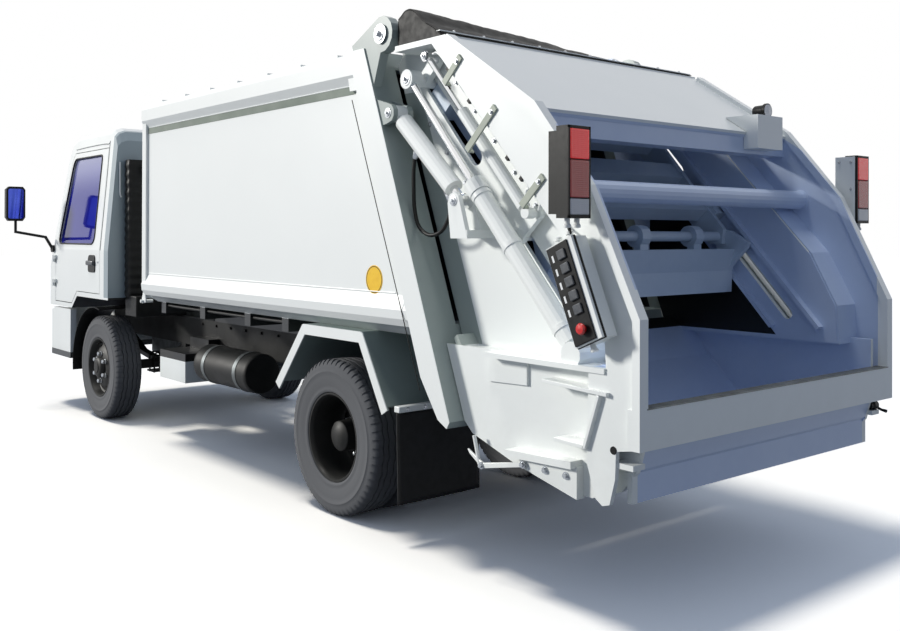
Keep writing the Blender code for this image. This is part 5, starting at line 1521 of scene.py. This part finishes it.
@dataclass
class BodyTrim:
    """Round label, seams, and the fittings at the container's front corner."""

    wall_y: float = 0.873
    post_y: float = 0.9012
    pipe_y: float = 0.760
    label: tuple[float, float] = (-1.630, 1.213)
    bracket: Outline = ((1.10, 0.955), (1.165, 0.945), (1.165, 0.985), (1.128, 1.06), (1.128, 1.13),
                        (1.10, 1.13))

    def build(self) -> None:
        """Build the body's trim."""
        centre = (self.label[0], self.wall_y, self.label[1])
        Shape().turned([(CORE, 0.0), (0.068, 0.0), (0.068, 0.0012), (CORE, 0.0012)], centre, Y, 48).piece(
            "round_label", VINYL, "chassis")
        Shape().turned([(0.0600, 0.0011), (0.0635, 0.0011), (0.0635, 0.0016), (0.0600, 0.0016)], centre, Y,
                       48).piece("label_border", SEAL, "chassis", slot=PLASTIC.slot)
        for side in Side:
            y = side.sign * (self.wall_y + 0.0005)
            seam = Shape()
            for start, z in ((-1.80, 1.158), (-1.50, 2.149)):
                seam.tube([(start, y, z), (1.05, y, z)], 0.003, 8)
            seam.piece(f"wall_seams_{side.label}", WHITE, "chassis")
            line = [(x, side.sign * self.post_y, z) for x, z in
                    ((-1.480, 2.074), (-1.608, 1.754), (-1.818, 1.241), (-2.021, 0.739))]
            Shape().tube(line, 0.0022, 8).piece(f"post_seam_{side.label}", SEAL, "chassis")
            # Grey-green strip under the roof rail, the groove's painted shade
            near, far = both(side, self.wall_y - 0.002, self.wall_y + 0.0016)
            Shape().block((-1.47, near, 2.106), (1.045, far, 2.146)).piece(
                f"rail_groove_{side.label}", GROOVE, "chassis")
            near, far = both(side, 0.790, 0.868)
            Shape().prism(self.bracket, "Y", *both(side, 0.860, 0.868)).block(
                (1.0995, near, 0.985), (1.1085, far, 1.120)).tube(
                on_side(side, (1.145, 0.80, 0.962), (1.145, 0.885, 0.962)), 0.012, 14).piece(
                f"front_bracket_{side.label}", WHITE, "chassis", bevel=0.002)
            line = [(x, side.sign * self.pipe_y, z) for x, z in
                    ((1.03, 0.946), (0.98, 0.938), (0.60, 0.935), (-0.55, 0.935), (-0.63, 0.946))]
            Shape().tube(flowing(line), 0.009).piece(f"body_pipe_{side.label}", BLACK, "chassis")


@dataclass
class ChassisTrim:
    """U-bolts over the springs, rail bolts, the fuel cap and the oil tank's skin."""

    rail_y: float = 0.3425
    tank: tuple[float, float, float] = (0.02, 0.56, 0.555)
    fuel_cap: tuple[float, float, float] = (0.62, -0.60, 0.720)
    band_xs: tuple[float, float] = (0.16, 0.60)

    def build(self) -> None:
        """Build the chassis's trim."""
        bolts, clamps, bands = Shape(), Shape(), Shape()
        for side in Side:
            for x, spring_top in ((FRONT_AXLE_X, 0.455), (REAR_AXLE_X, 0.505)):
                for at in (x - 0.045, x + 0.045):
                    near, far = side.sign * (self.rail_y - 0.040), side.sign * (self.rail_y + 0.040)
                    clamps.tube(flowing([(at, near, AXLE_HEIGHT - 0.075), (at, near, spring_top),
                                         (at, near * 0.5 + far * 0.5, spring_top + 0.022),
                                         (at, far, spring_top), (at, far, AXLE_HEIGHT - 0.075)], 5),
                                0.007, 10)
                near, far = both(side, self.rail_y - 0.055, self.rail_y + 0.055)
                clamps.block((x - 0.065, near, AXLE_HEIGHT - 0.070), (x + 0.065, far, AXLE_HEIGHT - 0.056))
            for k in range(14):
                bolts.bolt((1.25 - 0.22 * k, side.sign * 0.375, 0.770), Y * side.sign, 0.016)
        clamps.piece("spring_clamps", BLACK, "chassis")
        bolts.piece("rail_bolts", BLACK, "chassis")
        Shape().turned([(CORE, -0.002), (0.036, -0.002), (0.038, 0.008), (0.036, 0.026), (0.030, 0.030),
                        (CORE, 0.030)], self.fuel_cap, Z).piece("fuel_cap", PLASTIC, "chassis")
        Shape().turned([(0.0005, 0.012), (0.060, 0.010), (0.105, 0.003), (0.118, -0.002), (0.1245, 0.006),
                        (0.1250, 0.030), (0.1250, 0.690), (0.1245, 0.714), (0.118, 0.722), (0.105, 0.717),
                        (0.060, 0.710), (0.0005, 0.708)], self.tank, X, 64).piece(
            "oil_tank_skin", BLACK, "chassis", stands_for=["oil_tank"])
        for x in self.band_xs:
            bands.turned([(0.1245, -0.020), (0.1285, -0.020), (0.1285, 0.020), (0.1245, 0.020)],
                         (x, *self.tank[1:]), X, 48)
        bands.piece("tank_bands", STEEL, "chassis")


# Stage, lights and camera

def seen_by(tree: bpy.types.NodeTree, *kinds: str) -> bpy.types.NodeSocket:
    """Mask that is 1 for the named kinds of ray."""
    rays = add_node(tree, "ShaderNodeLightPath")
    mask = rays.outputs[f"Is {kinds[0]} Ray"]
    for kind in kinds[1:]:
        mask = maths(tree, "MAXIMUM", mask, rays.outputs[f"Is {kind} Ray"])
    return mask


@dataclass
class Studio:
    """Pale floor, soft light and the camera of the photograph."""

    focal_px: float = 975.36
    centre_px: tuple[float, float] = (458.76, 230.16)
    yaw: float = 0.6982
    pitch: float = 0.0044
    roll: float = 0.0023
    eye: tuple[float, float, float] = (-5.4135, 3.5282, 1.4268)
    sensor_mm: float = 36.0
    sky_light: float = 0.38
    side_light: float = 3.1
    side_toward: tuple[float, float, float] = (1.05, 1.0, 0.50)
    top_light: float = 1.25
    top_toward: tuple[float, float, float] = (0.18, 0.16, 1.0)
    floor_reach: float = 60.0

    def camera(self) -> None:
        """Set the camera where the photograph was taken from."""
        width, height = IMAGE_SIZE
        data = bpy.data.cameras.new("view")
        data.sensor_width = self.sensor_mm
        data.lens = self.sensor_mm * self.focal_px / width
        data.shift_x = (width / 2 - self.centre_px[0]) / width
        data.shift_y = (self.centre_px[1] - height / 2) / width
        data.clip_end = 200.0
        ahead = Vector((math.cos(self.yaw) * math.cos(self.pitch), -math.sin(self.yaw) * math.cos(self.pitch),
                        math.sin(self.pitch)))
        right = Vector((-math.sin(self.yaw), -math.cos(self.yaw), 0))
        up = right.cross(ahead)
        tilted_right = math.cos(self.roll) * right + math.sin(self.roll) * up
        tilted_up = -math.sin(self.roll) * right + math.cos(self.roll) * up
        turn = Matrix((tilted_right, tilted_up, -ahead)).transposed().to_4x4()
        thing = new_object("view", data)
        thing.matrix_world = Matrix.Translation(self.eye) @ turn
        bpy.context.scene.camera = thing

    def floor(self) -> None:
        """Lay a plain pale floor that keeps the truck's shadow."""
        mesh = bpy.data.meshes.new("floor")
        r = self.floor_reach
        mesh.from_pydata([(-r, -r, 0), (r, -r, 0), (r, r, 0), (-r, r, 0)], [], [(0, 1, 2, 3)])
        material = bpy.data.materials.new("studio_floor")
        material.use_nodes = True
        tree = material.node_tree
        paint = mixed(tree, seen_by(tree, "Camera", "Glossy", "Transmission"), "#888D92", "#FFFFFF")
        lift = mixed(tree, seen_by(tree, "Camera"), "#000000", "#E6DFCE")
        coats = add_node(tree, "ShaderNodeAddShader", links={
            k: add_node(tree, "ShaderNodeBsdfDiffuse", links={0: colour}).outputs[0]
            for k, colour in enumerate((paint, lift))})
        tree.links.new(coats.outputs[0], tree.nodes["Material Output"].inputs["Surface"])
        mesh.materials.append(material)
        new_object("floor", mesh)

    def lights(self) -> None:
        """Light the truck from a pale blue sky, from its left and from above."""
        world = bpy.data.worlds.new("studio")
        bpy.context.scene.world = world
        world.use_nodes = True
        tree = world.node_tree
        back = tree.nodes["Background"]
        seen = seen_by(tree, "Camera", "Glossy", "Transmission")
        strength = add_node(tree, "ShaderNodeMapRange",
                            {1: 0.0, 2: 1.0, 3: self.sky_light, 4: 1.0}, {0: seen})
        tree.links.new(mixed(tree, seen, "#C3D3F0", "#FFFFFF"), back.inputs["Color"])
        tree.links.new(strength.outputs[0], back.inputs["Strength"])
        for name, energy, toward, spread in (("side_light", self.side_light, self.side_toward, 9),
                                             ("top_light", self.top_light, self.top_toward, 12)):
            sun = bpy.data.lights.new(name, "SUN")
            sun.energy = energy
            sun.angle = math.radians(spread)
            sun.color = linear("#FFFCF6")[:3]
            thing = new_object(name, sun)
            thing.rotation_euler = Vector(toward).to_track_quat("Z", "Y").to_euler()
            if name == "side_light":
                lit = bpy.data.collections.new("lit_from_the_side")
                lit.objects.link(bpy.data.objects["floor"])
                thing.light_linking.receiver_collection = lit
                lit.collection_objects[0].light_linking.link_state = "EXCLUDE"

    def build(self) -> None:
        """Build the studio and set how colours are shown."""
        self.camera()
        self.floor()
        self.lights()
        bpy.context.scene.view_settings.view_transform = "Standard"


# Main

NODE_FINISHES: dict[Finish, str] = {
    CONTAINER: "body_shell", BUMPER: "bumper", CAB: "cab_shell", BATTERY: "battery_box", CLOTH: "seats",
    GATE: "tailgate_shell", PRESS: "slider press_plate", EJECTOR: "ejector_panel",
    MUDGUARD: "mudguard_L mudguard_R",
    WHITE: "door_L door_R lamp_bracket switch_box lift_barrel_L lift_barrel_R press_barrel_L press_barrel_R "
           "slide_cylinder_L slide_cylinder_R",
    BLACK: "chassis_frame front_axle rear_axle knuckle_L knuckle_R fuel_tank oil_tank",
    STEEL: "engine_block silencer",
    CHROME: "lift_rod_L lift_rod_R press_rod_L press_rod_R",
    GLASS: "windscreen rear_window door_glass_L door_glass_R",
    PLASTIC: "air_intake dashboard front_panel mirror_L mirror_R steering_wheel tail_lamp_L tail_lamp_R",
    SHEET: "mudflap_L mudflap_R hinge_cover",
}


def finish_nodes(nodes: dict[str, bpy.types.Object]) -> None:
    """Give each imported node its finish.

    Args:
        nodes: The nodes by name.
    """
    for finish, names in NODE_FINISHES.items():
        for name in names.split():
            slots = nodes[name].data.materials
            slots.clear()
            slots.append(finish.build())


def main() -> None:
    """Build the studio and every sub-assembly."""
    logging.basicConfig(level=logging.INFO, format="%(message)s")
    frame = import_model()
    Studio().build()
    finish_nodes(frame["nodes"])
    Wheels().build()
    for part in (Mechanism(), HopperFittings(), Latch(), TailLamps(), SwitchBox(), RoofFittings(), Mudflaps(),
                 CabTrim(), Seats(), BodyTrim(), ChassisTrim()):
        part.build()


if __name__ == "__main__":
    main()
